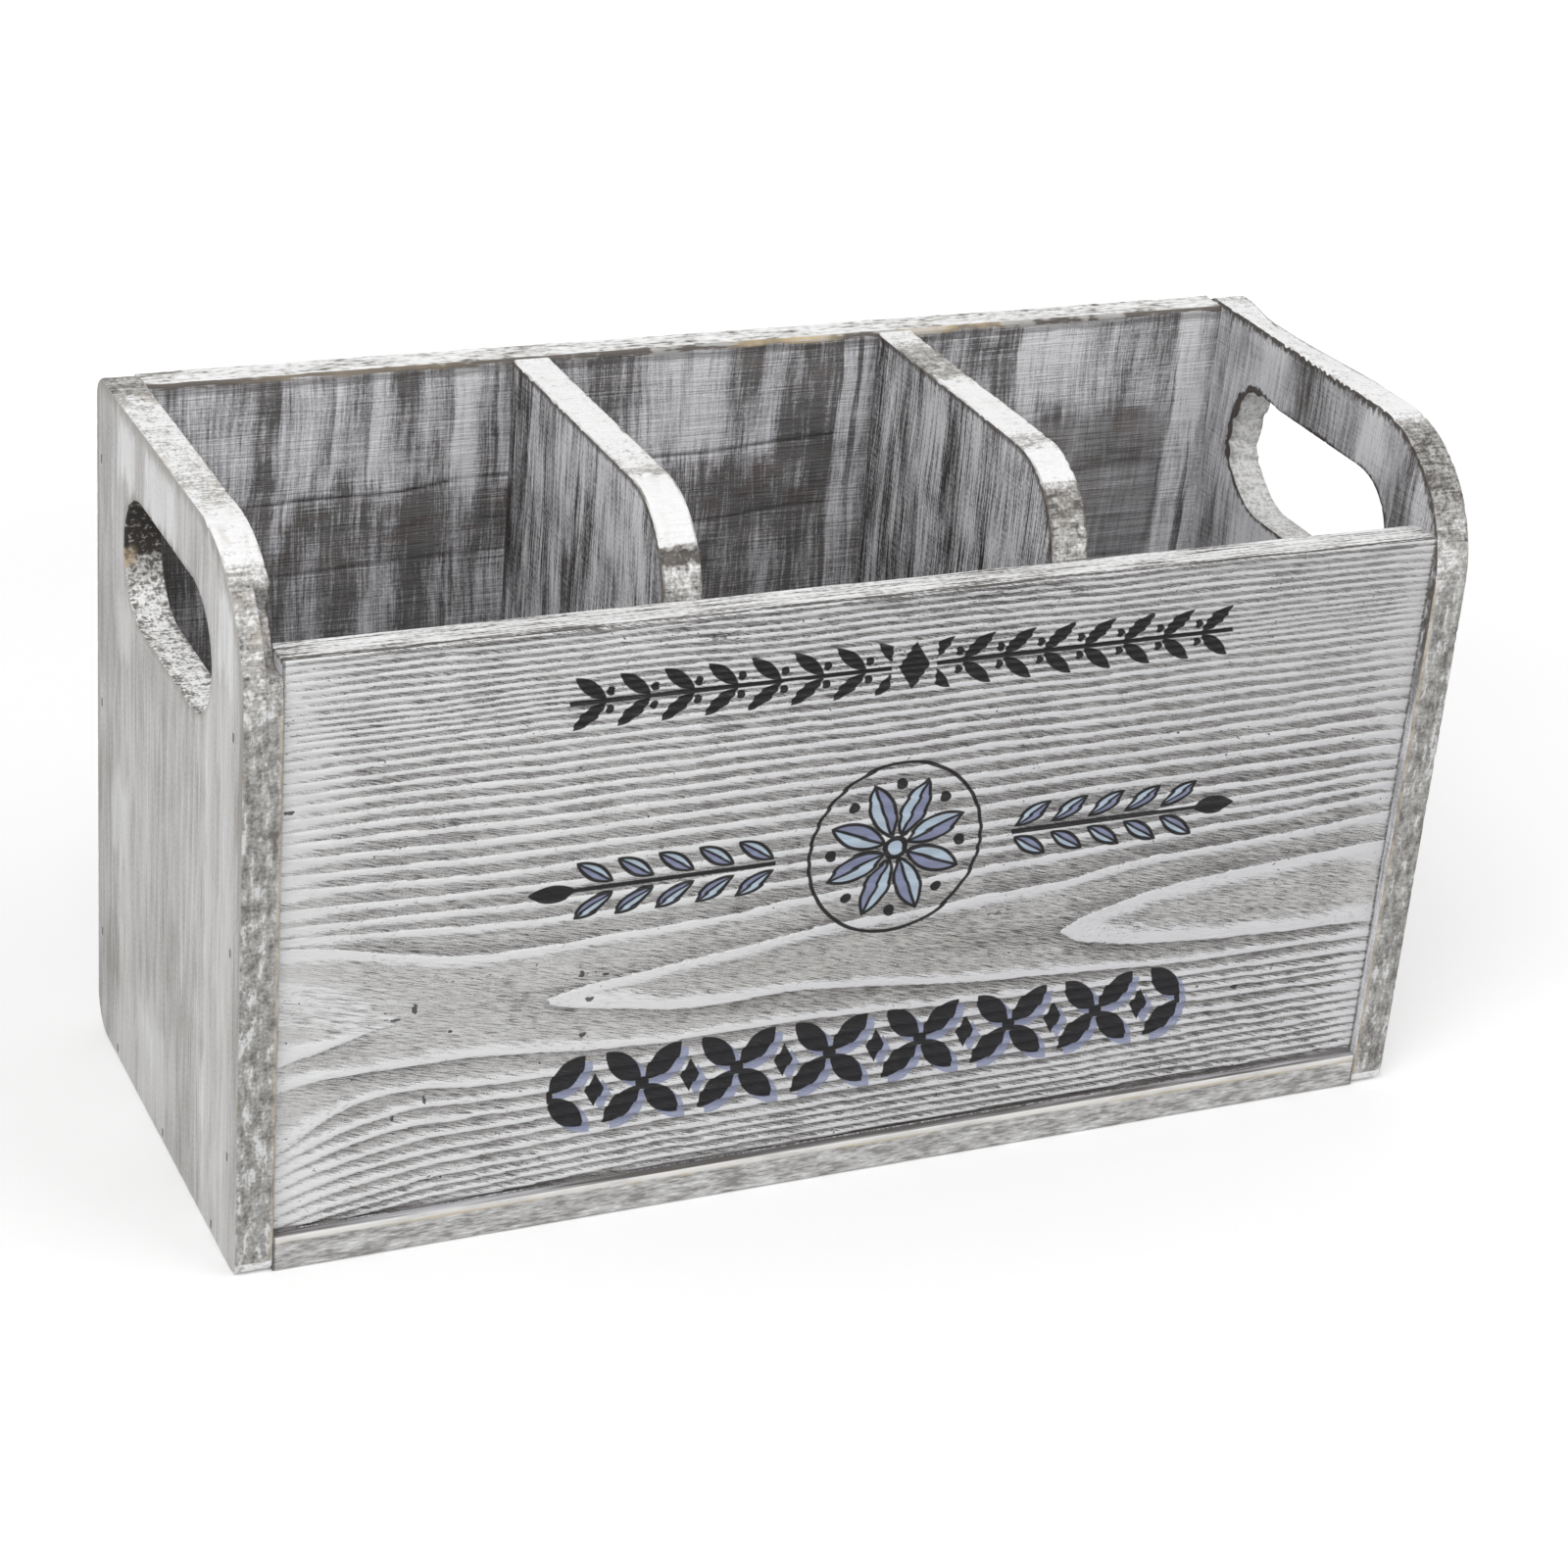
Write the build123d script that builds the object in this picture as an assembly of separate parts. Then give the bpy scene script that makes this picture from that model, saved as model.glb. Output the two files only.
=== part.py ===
"""Cutlery box: an open wooden box with three bays, for standing cutlery on a worktop.

Millimetres. +Z is up, +X runs along the front and the front looks along -Y. The origin is the
middle of the footprint, on the surface that the box stands on.
"""

from build123d import *
from math import ceil
import os

# Overall size
box_length = 320.0
box_depth = 126.0
end_height = 182.0

# Boards: thickness, and how far their top edges stand below those of the ends
end_thickness = 9.5
bottom_thickness = 9.5
front_thickness = 10.0
back_thickness = 9.5
divider_thickness = 10.0
front_drop = 23.0
back_drop = 1.0
divider_drop = 1.5

# How far the front stands back from the ends' front edges, and the gap between the dividers
front_setback = 2.5
middle_bay = 92.0

# Rounds of the end boards and the dividers, seen from the side
end_front_round = 36.0
end_rear_round = 6.0
end_heel_round = 10.0
end_toe_round = 3.0
divider_round = 25.0

# Hand hole in each end board, a slot with full round ends, its middle below the end's top edge
hand_hole_length = 75.0
hand_hole_width = 32.0
hand_hole_drop = 35.0

# How far the arrises are sanded off
arris = 0.8
back_arris = 1.5
front_arris = 1.2
hand_hole_arris = 0.6

# Brushed grain: the main hollows on the front's face. A line's points are in percent of the board's
# length from its left end and of its height from its lower edge
grain_depth = 0.5
grain_width = 3.0
grain_lines = [
    [(-2, 42.3), (10, 36.8)],  # a tip that points right, its upper and lower branch
    [(-2, 32), (10, 36.8)],
    [(22, 34.8), (57, 44), (102, 51.5)],  # a long fork that opens to the right
    [(22, 34.8), (57, 27.2), (102, 22.2)],
    [(69, 35.2), (102, 43.5)],  # a short fork inside it
    [(69, 35.2), (102, 28)],
    [(-2, 53), (16, 46.8), (46, 49.2), (102, 55)],  # rings above them
    [(-2, 61.5), (16, 55.5), (46, 58.2), (102, 62.5)],
    [(-2, 69.5), (16, 63.7), (46, 66.9), (102, 70.2)],
    [(-2, 77.6), (16, 73.2), (46, 75.9), (102, 77.8)],
    [(-2, 84.5), (16, 80.6), (46, 83), (102, 84.7)],
    [(-2, 92.8), (102, 92.6)],
    [(-2, 18), (10, 25.1), (22, 25.1), (46, 22.5), (102, 19.8)],  # rings below them
    [(-2, 10.5), (10, 14.4), (22, 15), (102, 13.7)],
    [(-2, 3), (10, 6.5), (22, 7.2), (102, 6.5)],
]

# Brads: rectangular wire with a T head, set below the surface
brad_length = 25.0
brad_wire = (1.25, 1.05)
brad_head = (2.4, 1.25)
brad_head_height = 0.8
brad_set = 0.6

# Where the brads stand, and the widest that a row of them is spaced
nail_edge = 20.0
nail_spacing = 66.0
bottom_nail_height = 3.0
nail_stagger = 1.5

# Faces and heights that the boards share
front_top = end_height - front_drop
back_top = end_height - back_drop
divider_top = end_height - divider_drop
hand_hole_height = end_height - hand_hole_drop
half_length = box_length / 2
half_depth = box_depth / 2
inner_half = half_length - end_thickness
front_face = -half_depth + front_setback
front_rear = front_face + front_thickness
back_face = half_depth - back_thickness
divider_inner = middle_bay / 2
divider_middle = divider_inner + divider_thickness / 2

sides = {"left": -1, "right": 1}


def nail_row(low, high):
    """Even places from low to high, both ends included, no further apart than the nail spacing."""
    gaps = ceil((high - low) / nail_spacing)
    return [low + (high - low) * i / gaps for i in range(gaps + 1)]


def block(x_range, y_range, z_range):
    """A box between two values on each axis."""
    corner = (x_range[0], y_range[0], z_range[0])
    size = [high - low for low, high in (x_range, y_range, z_range)]
    return Pos(*corner) * Box(*size, align=(Align.MIN, Align.MIN, Align.MIN))


def side_plane(x):
    """The plane across the box at x, in which a sketch's x is +Y and its y is +Z."""
    return Plane(origin=(x, 0, 0), x_dir=(0, 1, 0), z_dir=(1, 0, 0))


def upright(y_range, z_range, rounds, x_range):
    """A board cut to a side outline, with rounds at front bottom, rear bottom, rear top, front top."""
    (front, rear), (low, high) = y_range, z_range
    corners = [(front, low), (rear, low), (rear, high), (front, high)]
    outline = make_face(FilletPolyline(*corners, radius=rounds, close=True))
    return extrude(side_plane(x_range[0]) * outline, amount=x_range[1] - x_range[0], dir=(1, 0, 0))


def mirrored_range(side, inner, outer):
    """The x range from inner to outer on the right, or its mirror image on the left."""
    return (inner, outer) if side > 0 else (-outer, -inner)


def end_board(side):
    """One end, rounded in outline, sanded all round, with its hand hole."""
    x_range = mirrored_range(side, inner_half, half_length)
    rounds = (end_toe_round, end_heel_round, end_rear_round, end_front_round)
    board = upright((-half_depth, half_depth), (0, end_height), rounds, x_range)
    faces = board.faces().sort_by(Axis.X)
    board = fillet(faces[0].edges() + faces[-1].edges(), arris)
    slot = Pos(0, hand_hole_height) * SlotOverall(hand_hole_length, hand_hole_width)
    board -= extrude(side_plane(x_range[0]) * slot, amount=end_thickness, dir=(1, 0, 0))
    faces = board.faces().filter_by(Axis.X).sort_by(Axis.X)
    rims = [edge for face in (faces[0], faces[-1]) for edge in face.inner_wires()[0].edges()]
    return fillet(rims, hand_hole_arris)


def divider(side):
    """One divider, between the front and back boards on the bottom board, sanded along its top."""
    x_range = mirrored_range(side, divider_inner, divider_inner + divider_thickness)
    rounds = (0, 0, 0, divider_round)
    board = upright((front_rear, back_face), (bottom_thickness, divider_top), rounds, x_range)
    faces = board.faces().filter_by(Axis.X)
    tops = [face.edges().filter_by(Axis.Y).sort_by(Axis.Z)[-1] for face in faces]
    return fillet(tops, arris)


def lengthwise_edge(board, high, rear):
    """The edge of a block along X that is its high or low, front or rear one."""
    edges = board.edges().filter_by(Axis.X).sort_by(Axis.Z)
    pair = (edges[-2:] if high else edges[:2]).sort_by(Axis.Y)
    return pair[-1] if rear else pair[0]


def bottom_board():
    """The floor, with its front and rear edges flush with those of the ends."""
    board = block((-inner_half, inner_half), (-half_depth, half_depth), (0, bottom_thickness))
    edges = [lengthwise_edge(board, high, rear) for high, rear in ((1, 0), (0, 0), (0, 1))]
    return fillet(edges, arris)


def grain_hollow(line):
    """What brushing took out along one line on the front's face: a bar of round section, mitred at its
    bends, that sinks to the grain's depth where it is the grain's width across."""
    radius = (grain_width**2 / 4 + grain_depth**2) / (2 * grain_depth)
    length, height = 2 * inner_half, front_top - bottom_thickness
    axis = front_face + grain_depth - radius
    points = [(-inner_half + length * u / 100, axis, bottom_thickness + height * v / 100) for u, v in line]
    path = Polyline(*points)
    return sweep(Plane(origin=path @ 0, z_dir=path % 0) * Circle(radius), path=path, transition=Transition.RIGHT)


def front_board():
    """The low front, set back from the ends' front edges, its face brushed along the grain."""
    board = block((-inner_half, inner_half), (front_face, front_rear), (bottom_thickness, front_top))
    board = fillet(lengthwise_edge(board, True, True), arris)
    board = fillet(lengthwise_edge(board, True, False), front_arris)
    for line in grain_lines:
        board -= grain_hollow(line)
    return board


def back_board():
    """The tall back, flush with the ends' rear edges."""
    board = block((-inner_half, inner_half), (back_face, half_depth), (bottom_thickness, back_top))
    board = fillet(lengthwise_edge(board, True, True), arris)
    return fillet(lengthwise_edge(board, True, False), back_arris)


def brad(entry, direction, across):
    """One brad and the pocket that it fills, from its entry point on a board's surface."""
    plane = Plane(origin=entry, x_dir=across, z_dir=direction)
    low = (Align.CENTER, Align.CENTER, Align.MIN)
    head = Pos(0, 0, brad_set) * Box(*brad_head, brad_head_height, align=low)
    shank = Pos(0, 0, brad_set) * Box(*brad_wire, brad_length, align=low)
    pocket = Box(*brad_head, brad_set + brad_head_height, align=low)
    return plane * (head + shank), plane * (pocket + shank)


def nail(boards, names, entries, direction, across):
    """Drives one brad at each entry, cuts its pocket in the named boards and returns the brads."""
    brads = [brad(entry, direction, across) for entry in entries]
    for name in names:
        for _, pocket in brads:
            boards[name] -= pocket
    return Compound(children=[solid for body, _ in brads for solid in body.solids()])


def end_nails(boards, side_name, side):
    """The rows of brads through one end into the bottom, front and back boards."""
    x, inward = side * half_length, (-side, 0, 0)
    along = nail_row(-half_depth + nail_edge, half_depth - nail_edge)
    up_front = nail_row(bottom_thickness + nail_edge, front_top - nail_edge)
    up_back = nail_row(bottom_thickness + nail_edge, back_top - nail_edge)
    front_middle = (front_face + front_rear) / 2
    back_middle = (back_face + half_depth) / 2
    rows = {
        "bottom": [(x, y, bottom_nail_height) for y in along],
        "front": [(x, front_middle, z) for z in up_front],
        "back": [(x, back_middle, z) for z in up_back],
    }
    return {
        f"{side_name}_end_{joint}_nails": nail(
            boards, (f"{side_name}_end_board", f"{joint}_board"), entries, inward, (0, 0, 1)
        )
        for joint, entries in rows.items()
    }


def divider_nails(boards, side_name, side):
    """Brads through the back and the bottom into one divider, staggered so that they miss each other."""
    x = side * divider_middle
    up = nail_row(bottom_thickness + nail_edge, divider_top - nail_edge)
    along = nail_row(front_rear + nail_edge, back_face - nail_edge)
    from_back = [(x - side * nail_stagger, half_depth, z) for z in up]
    from_below = [(x + side * nail_stagger, y, 0) for y in along]
    name = f"{side_name}_divider"
    return {
        f"{name}_back_nails": nail(boards, (name, "back_board"), from_back, (0, -1, 0), (0, 0, 1)),
        f"{name}_bottom_nails": nail(boards, (name, "bottom_board"), from_below, (0, 0, 1), (0, 1, 0)),
    }


def build():
    """Every node of the box by its name."""
    boards = {"bottom_board": bottom_board(), "front_board": front_board(), "back_board": back_board()}
    for name, side in sides.items():
        boards[f"{name}_end_board"] = end_board(side)
        boards[f"{name}_divider"] = divider(side)
    nails = {}
    for name, side in sides.items():
        nails.update(end_nails(boards, name, side))
        nails.update(divider_nails(boards, name, side))
    return {**boards, **nails}


os.makedirs("parts", exist_ok=True)
for node, shape in build().items():
    export_step(shape, f"parts/{node}.step")
    print(node, len(shape.solids()), "solids", round(shape.volume), "mm3")
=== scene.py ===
import math

import bpy
import numpy as np
from mathutils import Matrix, Vector


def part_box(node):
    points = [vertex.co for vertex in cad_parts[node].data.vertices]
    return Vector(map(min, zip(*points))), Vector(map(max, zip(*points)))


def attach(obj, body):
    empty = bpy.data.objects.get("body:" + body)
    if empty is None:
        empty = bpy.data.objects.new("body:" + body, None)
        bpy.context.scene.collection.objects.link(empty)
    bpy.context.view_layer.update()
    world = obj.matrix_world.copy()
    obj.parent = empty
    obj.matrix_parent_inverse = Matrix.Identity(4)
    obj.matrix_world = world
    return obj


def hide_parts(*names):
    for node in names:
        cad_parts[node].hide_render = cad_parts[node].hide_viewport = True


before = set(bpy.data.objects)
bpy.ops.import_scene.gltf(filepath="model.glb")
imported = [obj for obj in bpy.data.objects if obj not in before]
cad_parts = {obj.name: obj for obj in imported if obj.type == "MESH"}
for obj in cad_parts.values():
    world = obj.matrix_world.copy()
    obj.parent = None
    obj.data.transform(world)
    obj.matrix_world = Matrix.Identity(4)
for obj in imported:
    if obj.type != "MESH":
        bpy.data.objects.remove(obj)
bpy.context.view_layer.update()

mm = 0.001
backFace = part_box("back_board")[0][1] / mm
print("frame loaded:", len(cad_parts), "nodes")


# Numbers and shapes, all in millimetres

def cornersOf(node):
    # the low and high corner of a node
    low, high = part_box(node)
    return np.array(low) / mm, np.array(high) / mm


def smooth(low, high, value):
    # 0 below low, 1 above high, 3t^2 - 2t^3 between
    part = np.clip((value - low) / (high - low), 0, 1)
    return part * part * (3 - 2 * part)


def hump(value, middle, width):
    # a bell of height 1: exp(-((v - middle) / width)^2)
    return np.exp(-((value - middle) / width) ** 2)


def lumps(points, size, seed):
    # random heights from -1 to 1 on a lattice of cells of that size, blended by 3t^2 - 2t^3
    lattice = np.random.default_rng(seed).uniform(-1, 1, (64, 64, 64))
    cell = points / np.asarray(size, float)
    base = np.floor(cell).astype(int)
    part = cell - base
    part = part * part * (3 - 2 * part)
    total = np.zeros(points.shape[:-1])
    for corner in np.ndindex(2, 2, 2):
        weight = np.prod(np.where(corner, part, 1 - part), axis=-1)
        i, j, k = np.moveaxis((base + corner) % 64, -1, 0)
        total += weight * lattice[i, j, k]
    return total


def skin(name, grid, layers, joined=False):
    # quads between neighbours of a grid (rows, around, 3), closed around; its first and last rows
    # are joined to each other, or each is closed by one flat face
    rows, around = grid.shape[:2]
    index = np.arange(rows * around).reshape(rows, around)
    here, after = (index, np.roll(index, -1, 0)) if joined else (index[:-1], index[1:])
    quads = np.stack([here, np.roll(here, -1, 1), np.roll(after, -1, 1), after], -1).reshape(-1, 4)
    caps = [] if joined else [index[0][::-1], index[-1]]
    points = grid.reshape(-1, 3)
    a, b, c, d = (points[quads[:, k]] for k in range(4))
    volume = np.einsum("ij,ij->", a, np.cross(b, c)) + np.einsum("ij,ij->", a, np.cross(c, d))
    for cap in caps:
        fan = points[cap]
        first = np.broadcast_to(fan[0], fan[1:-1].shape)
        volume += np.einsum("ij,ij->", first, np.cross(fan[1:-1], fan[2:]))
    if volume < 0:
        quads, caps = quads[:, ::-1], [cap[::-1] for cap in caps]
    corners = np.concatenate([quads.ravel(), *caps])
    sizes = np.array([4] * len(quads) + [around] * len(caps))
    mesh = bpy.data.meshes.new(name)
    mesh.vertices.add(len(points))
    mesh.vertices.foreach_set("co", (points * mm).ravel())
    mesh.loops.add(len(corners))
    mesh.loops.foreach_set("vertex_index", corners.astype(np.int32))
    mesh.polygons.add(len(sizes))
    mesh.polygons.foreach_set("loop_start", (np.cumsum(sizes) - sizes).astype(np.int32))
    mesh.polygons.foreach_set("use_smooth", np.ones(len(sizes), bool))
    mesh.update(calc_edges=True)
    mesh.validate()
    for layer, values in layers.items():
        made = mesh.attributes.new(layer, "FLOAT", "POINT")
        made.data.foreach_set("value", values.astype(np.float32).ravel())
    piece = bpy.data.objects.new(name, mesh)
    bpy.context.scene.collection.objects.link(piece)
    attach(piece, "root")
    print("made", name, "with", 2 * len(quads), "triangles")
    return piece


def ringOf(low, high, radii, counts, inset=0.0):
    # a rectangle with round corners, moved in by inset: for each corner its arc, then a straight run
    # to the next; corners from low front to low rear, high rear and high front
    points, normals, ends = [], [], []
    for k, (right, up) in enumerate(((0, 0), (1, 0), (1, 1), (0, 1))):
        bend = max(radii[k] - inset, 0.0)
        start = math.pi * (1 + k / 2)
        corner = np.array([(low[0], high[0])[right], (low[1], high[1])[up]])
        centre = corner + (inset + bend) * (1 - 2 * np.array([right, up]))
        angle = start + np.linspace(0, math.pi / 2, counts[k][0] + 1)
        turn = np.stack([np.cos(angle), np.sin(angle)], -1)
        points.append(centre + bend * turn[:-1])
        normals.append(turn[:-1])
        ends.append((centre + bend * turn[0], centre + bend * turn[-1], turn[-1]))
    ring, out = [], []
    for k in range(4):
        leave, normal = ends[k][1], ends[k][2]
        arrive = ends[(k + 1) % 4][0]
        share = np.linspace(0, 1, counts[k][1], endpoint=False)[:, None]
        ring += [points[k], leave + share * (arrive - leave)]
        out += [normals[k], np.broadcast_to(normal, (counts[k][1], 2))]
    return np.concatenate(ring), np.concatenate(out)


def slotRing(toward, centre, length, width, outset=0.0):
    # where rays from a slot's middle towards given points meet its outline, moved out by outset
    away = toward - centre
    away = away / np.linalg.norm(away, axis=1)[:, None]
    half, radius = (length - width) / 2, width / 2
    cosine, sine = np.abs(away).T
    flat = cosine * radius <= half * sine
    rounded = half * cosine + np.sqrt(np.maximum(radius**2 - (half * sine) ** 2, 0))
    spot = away * np.where(flat, radius / np.maximum(sine, 1e-6), rounded)[:, None]
    middle = np.stack([np.where(flat, spot[:, 0], half * np.sign(away[:, 0])), np.zeros(len(spot))], -1)
    normal = (spot - middle) / radius
    return centre + spot + outset * normal, normal


# Materials: node trees written as expressions

class Wire:
    # a socket, on which + - * / and the calls below add nodes
    def __init__(self, book, socket):
        self.book, self.socket = book, socket

    def math(self, kind, *others):
        return self.book.node("ShaderNodeMath", {"operation": kind}, dict(enumerate((self, *others))))

    def __add__(self, other):
        return self.math("ADD", other)

    def __sub__(self, other):
        return self.math("SUBTRACT", other)

    def __mul__(self, other):
        return self.math("MULTIPLY", other)

    def __truediv__(self, other):
        return self.math("DIVIDE", other)

    def __rsub__(self, other):
        return self * -1 + other

    def __neg__(self):
        return self * -1

    def __abs__(self):
        return self.math("ABSOLUTE")

    __radd__, __rmul__ = __add__, __mul__

    def over(self, low, high):
        # 0 at low, 1 at high, eased; falls where low is above high
        span = {1: min(low, high), 2: max(low, high), 3: float(low > high), 4: float(low < high)}
        return self.book.node("ShaderNodeMapRange", {"interpolation_type": "SMOOTHSTEP"}, {0: self, **span})

    def band(self, low, high, soft):
        # 1 from low to high, with eased flanks
        return self.over(low - soft, low + soft) * self.over(high + soft, high - soft)

    def clamp(self):
        # held between 0 and 1
        return self.book.node("ShaderNodeClamp", {}, {0: self})


class Book:
    # the nodes of one material, or of the world
    def __init__(self, name, world=None):
        self.owner = world or bpy.data.materials.new(name)
        self.owner.use_nodes = True
        self.tree = self.owner.node_tree
        self.tree.nodes.clear()
        if world:
            return
        spot = self.node("ShaderNodeTexCoord", {}, {}, "Object")
        spot = self.node("ShaderNodeVectorMath", {"operation": "SCALE"}, {0: spot, "Scale": 1 / mm})
        self.x, self.y, self.z = (self.node("ShaderNodeSeparateXYZ", {}, {0: spot}, k) for k in range(3))

    def node(self, kind, settings, sockets, out=0):
        # a node of that kind: its settings first, then the links or values of its sockets
        made = self.tree.nodes.new(kind)
        for key, value in settings.items():
            if key == "stops":
                self.setStops(made.color_ramp.elements, value)
            else:
                setattr(made, key, value)
        for key, value in sockets.items():
            if isinstance(value, Wire):
                self.tree.links.new(value.socket, made.inputs[key])
            else:
                made.inputs[key].default_value = value
        return Wire(self, made.outputs[out]) if made.outputs else None

    def setStops(self, elements, stops):
        # a grey ramp's levels; its first stop is at 0 and its last at 1
        for place, level in stops[1:-1]:
            elements.new(place).color = (level, level, level, 1.0)
        for element, (_, level) in ((elements[0], stops[0]), (elements[len(stops) - 1], stops[-1])):
            element.color = (level, level, level, 1.0)

    def profile(self, value, stops):
        # a level that runs through pairs of place and level
        low, span = stops[0][0], stops[-1][0] - stops[0][0]
        settings = {"stops": [((place - low) / span, level) for place, level in stops]}
        return self.node("ShaderNodeValToRGB", settings, {0: (value - low) / span})

    def layer(self, name):
        # a value that is kept in the mesh
        return self.node("ShaderNodeAttribute", {"attribute_name": name}, {}, "Fac")

    def point(self, a, b, c=0.0):
        # a place from its coordinates
        return self.node("ShaderNodeCombineXYZ", {}, {0: a, 1: b, 2: c})

    def noise(self, a, b, size, seed, detail=2.0):
        # fractal noise, about -1 to 1, on cells of size[0] by size[1] millimetres
        spot = self.point(a / size[0] + 7.3 * seed, b / size[1] - 3.1 * seed)
        sockets = {"Vector": spot, "Scale": 1.0, "Detail": detail, "Roughness": 0.55}
        return (self.node("ShaderNodeTexNoise", {"noise_dimensions": "2D"}, sockets) - 0.5) * 5.0

    def noise3(self, size, seed, detail=2.0):
        # the same in space, on cells of three sizes
        spot = self.point(self.x / size[0] + 5.7 * seed, self.y / size[1] - 2.9 * seed, self.z / size[2])
        sockets = {"Vector": spot, "Scale": 1.0, "Detail": detail, "Roughness": 0.55}
        return (self.node("ShaderNodeTexNoise", {}, sockets) - 0.5) * 5.0

    def mix(self, first, second, share):
        # two colours, the second one by its share
        sockets = {0: share, 6: first, 7: second}
        return self.node("ShaderNodeMix", {"data_type": "RGBA"}, sockets, 2)

    def finish(self, colour, roughness, height, depth, specular=0.35):
        # depth is how many millimetres a height of 1 stands up
        bump = self.node("ShaderNodeBump", {}, {"Strength": 1.0, "Distance": depth * mm, "Height": height})
        shader = self.node("ShaderNodeBsdfPrincipled", {}, {
            "Base Color": colour, "Roughness": roughness, "Specular IOR Level": specular, "Normal": bump})
        self.node("ShaderNodeOutputMaterial", {}, {"Surface": shader})
        return self.owner


def tint(red, green, blue):
    # a colour as a picture shows it, made linear
    parts = [value / 255 for value in (red, green, blue)]
    return [v / 12.92 if v <= 0.04045 else ((v + 0.055) / 1.055) ** 2.4 for v in parts] + [1.0]


paints = {
    "chalk": tint(238, 238, 236),
    "cool": tint(196, 196, 200),
    "wash": tint(206, 206, 205),
    "stain": tint(97, 94, 92),
    "russet": tint(92, 72, 64),
    # the holes of set brads: painted shade in the hole and the bare wood in it
    "socket": tint(70, 65, 61),
    "ink": tint(24, 22, 24),
    "slate": tint(141, 147, 176),
    "sky": tint(185, 201, 216),
}


def brushed(book, across, along, look, seed):
    # dry strokes: patches, streaks and single bristles, each a noise drawn out along the stroke
    total = look["level"]
    for k, part in enumerate(("patch", "streak", "bristle")):
        width, length, weight = look[part]
        total = book.noise(across, along, (width, length), seed + k, 2.0) * weight + total
    return total


strokeLook = {
    "lean": 0.8,              # how far the strokes stray sideways
    "patch": 0.19,            # the weight of patches and of streaks
    "streak": 0.2,
}


def dryBrush(book, across, up, places, seed):
    # upright strokes of a nearly dry brush on dark stain: how much paint lies there, about 0 to 1.
    # places gives, for each bay, the paint along the board above and below the height of its turn
    look = strokeLook
    stray = book.noise(across, up, (24, 40), seed, 1.0)
    run = across + stray * look["lean"]
    reach = places["reach"]
    bristle = book.noise(run, up, (0.42, 7.0 * reach), seed + 1, 3.0)
    streak = book.noise(run, up, (1.4, 24.0 * reach), seed + 2, 2.0)
    patch = book.noise(run, up, (7.0, 20.0), seed + 3, 2.0)
    speck = book.noise(across, up, (0.7, 1.0), seed + 4, 2.0)
    grain = book.noise(up, across, (0.4, 20.0), seed + 5, 2.0)
    place = run + streak * 0.7
    low, high = places["turn"]
    above = (up + patch * 6 + bristle * 4).over(low, high)
    total = None
    for upper, lower in places["bays"]:
        first = book.profile(place, lower)
        level = first + (book.profile(place, upper) - first) * above
        share = 1 if total is None else place.math("GREATER_THAN", float(upper[0][0]))
        total = level if total is None else total + (level - total) * share
    for part, weight in ((patch, look["patch"]), (streak, look["streak"]), (bristle, places["bristle"]),
                         (speck, places["speck"]), (grain, places["grain"])):
        total = total + part * (weight * places["force"])
    return total, bristle


def stained(book, cover, across, up, seed, deep=0.0):
    # brown grey stain under cool white paint
    cloud = book.noise(across, up, (22, 9), seed, 2.0)
    grit = book.noise(across, up, (9, 0.6), seed + 1, 3.0)
    stain = book.mix(tint(90, 88, 87), tint(131, 130, 129), (grit * 0.3 + cloud * 0.25 + 0.45).clamp())
    stain = book.mix(stain, paints["russet"], (cloud * 0.7 + grit * 0.3 - 0.1).clamp() * 0.36)
    if deep:
        stain = book.mix(stain, tint(46, 43, 42), cover.over(0.16, -0.24) * deep)
    face = book.mix(stain, tint(206, 205, 209), cover.over(-0.05, 0.8))
    return book.mix(face, tint(240, 240, 242), cover.over(0.6, 1.15))


# The two ends and the dividers

endLook = {
    "round": 36.0,            # front top
    "rearRound": 6.0,
    "heel": 10.0,
    "toe": 3.0,
    "arris": 0.8,
    "holeLength": 75.0,
    "holeWidth": 32.0,
    "holeDrop": 35.0,         # from the top edge to the middle of the hole
    "holeArris": 0.6,
    "step": 0.62,             # spacing of the points along the edge
    "rough": 0.3,             # depth of the sawn edge's roughness
    "wander": 0.5,            # how far the edge strays from its line
    "rightSlump": 2.2,        # how much lower the outer side of the right end's top is at the rear
    "rightReach": 2.6,        # how far the right hand hole is cut past its round at the rear
    "rightTorn": 0.4,         # how unevenly, as a share of that
    "teeth": 0.7,             # depth of the torn fibres along the right end's inner arris
    "split": 7.0,             # depth of the piece split off the left end's round
    "splitWidth": 3.6,
}
dividerLook = {"round": 25.0, "arris": 0.8, "step": 0.6, "rough": 0.22, "wander": 0.45}
faceInsets = (1.2, 1.8, 2.6, 3.6, 5.0, 7.0)  # how far from its outline a face's rows lie
hidden = 0.05  # the round of an edge that lies in a joint


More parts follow.
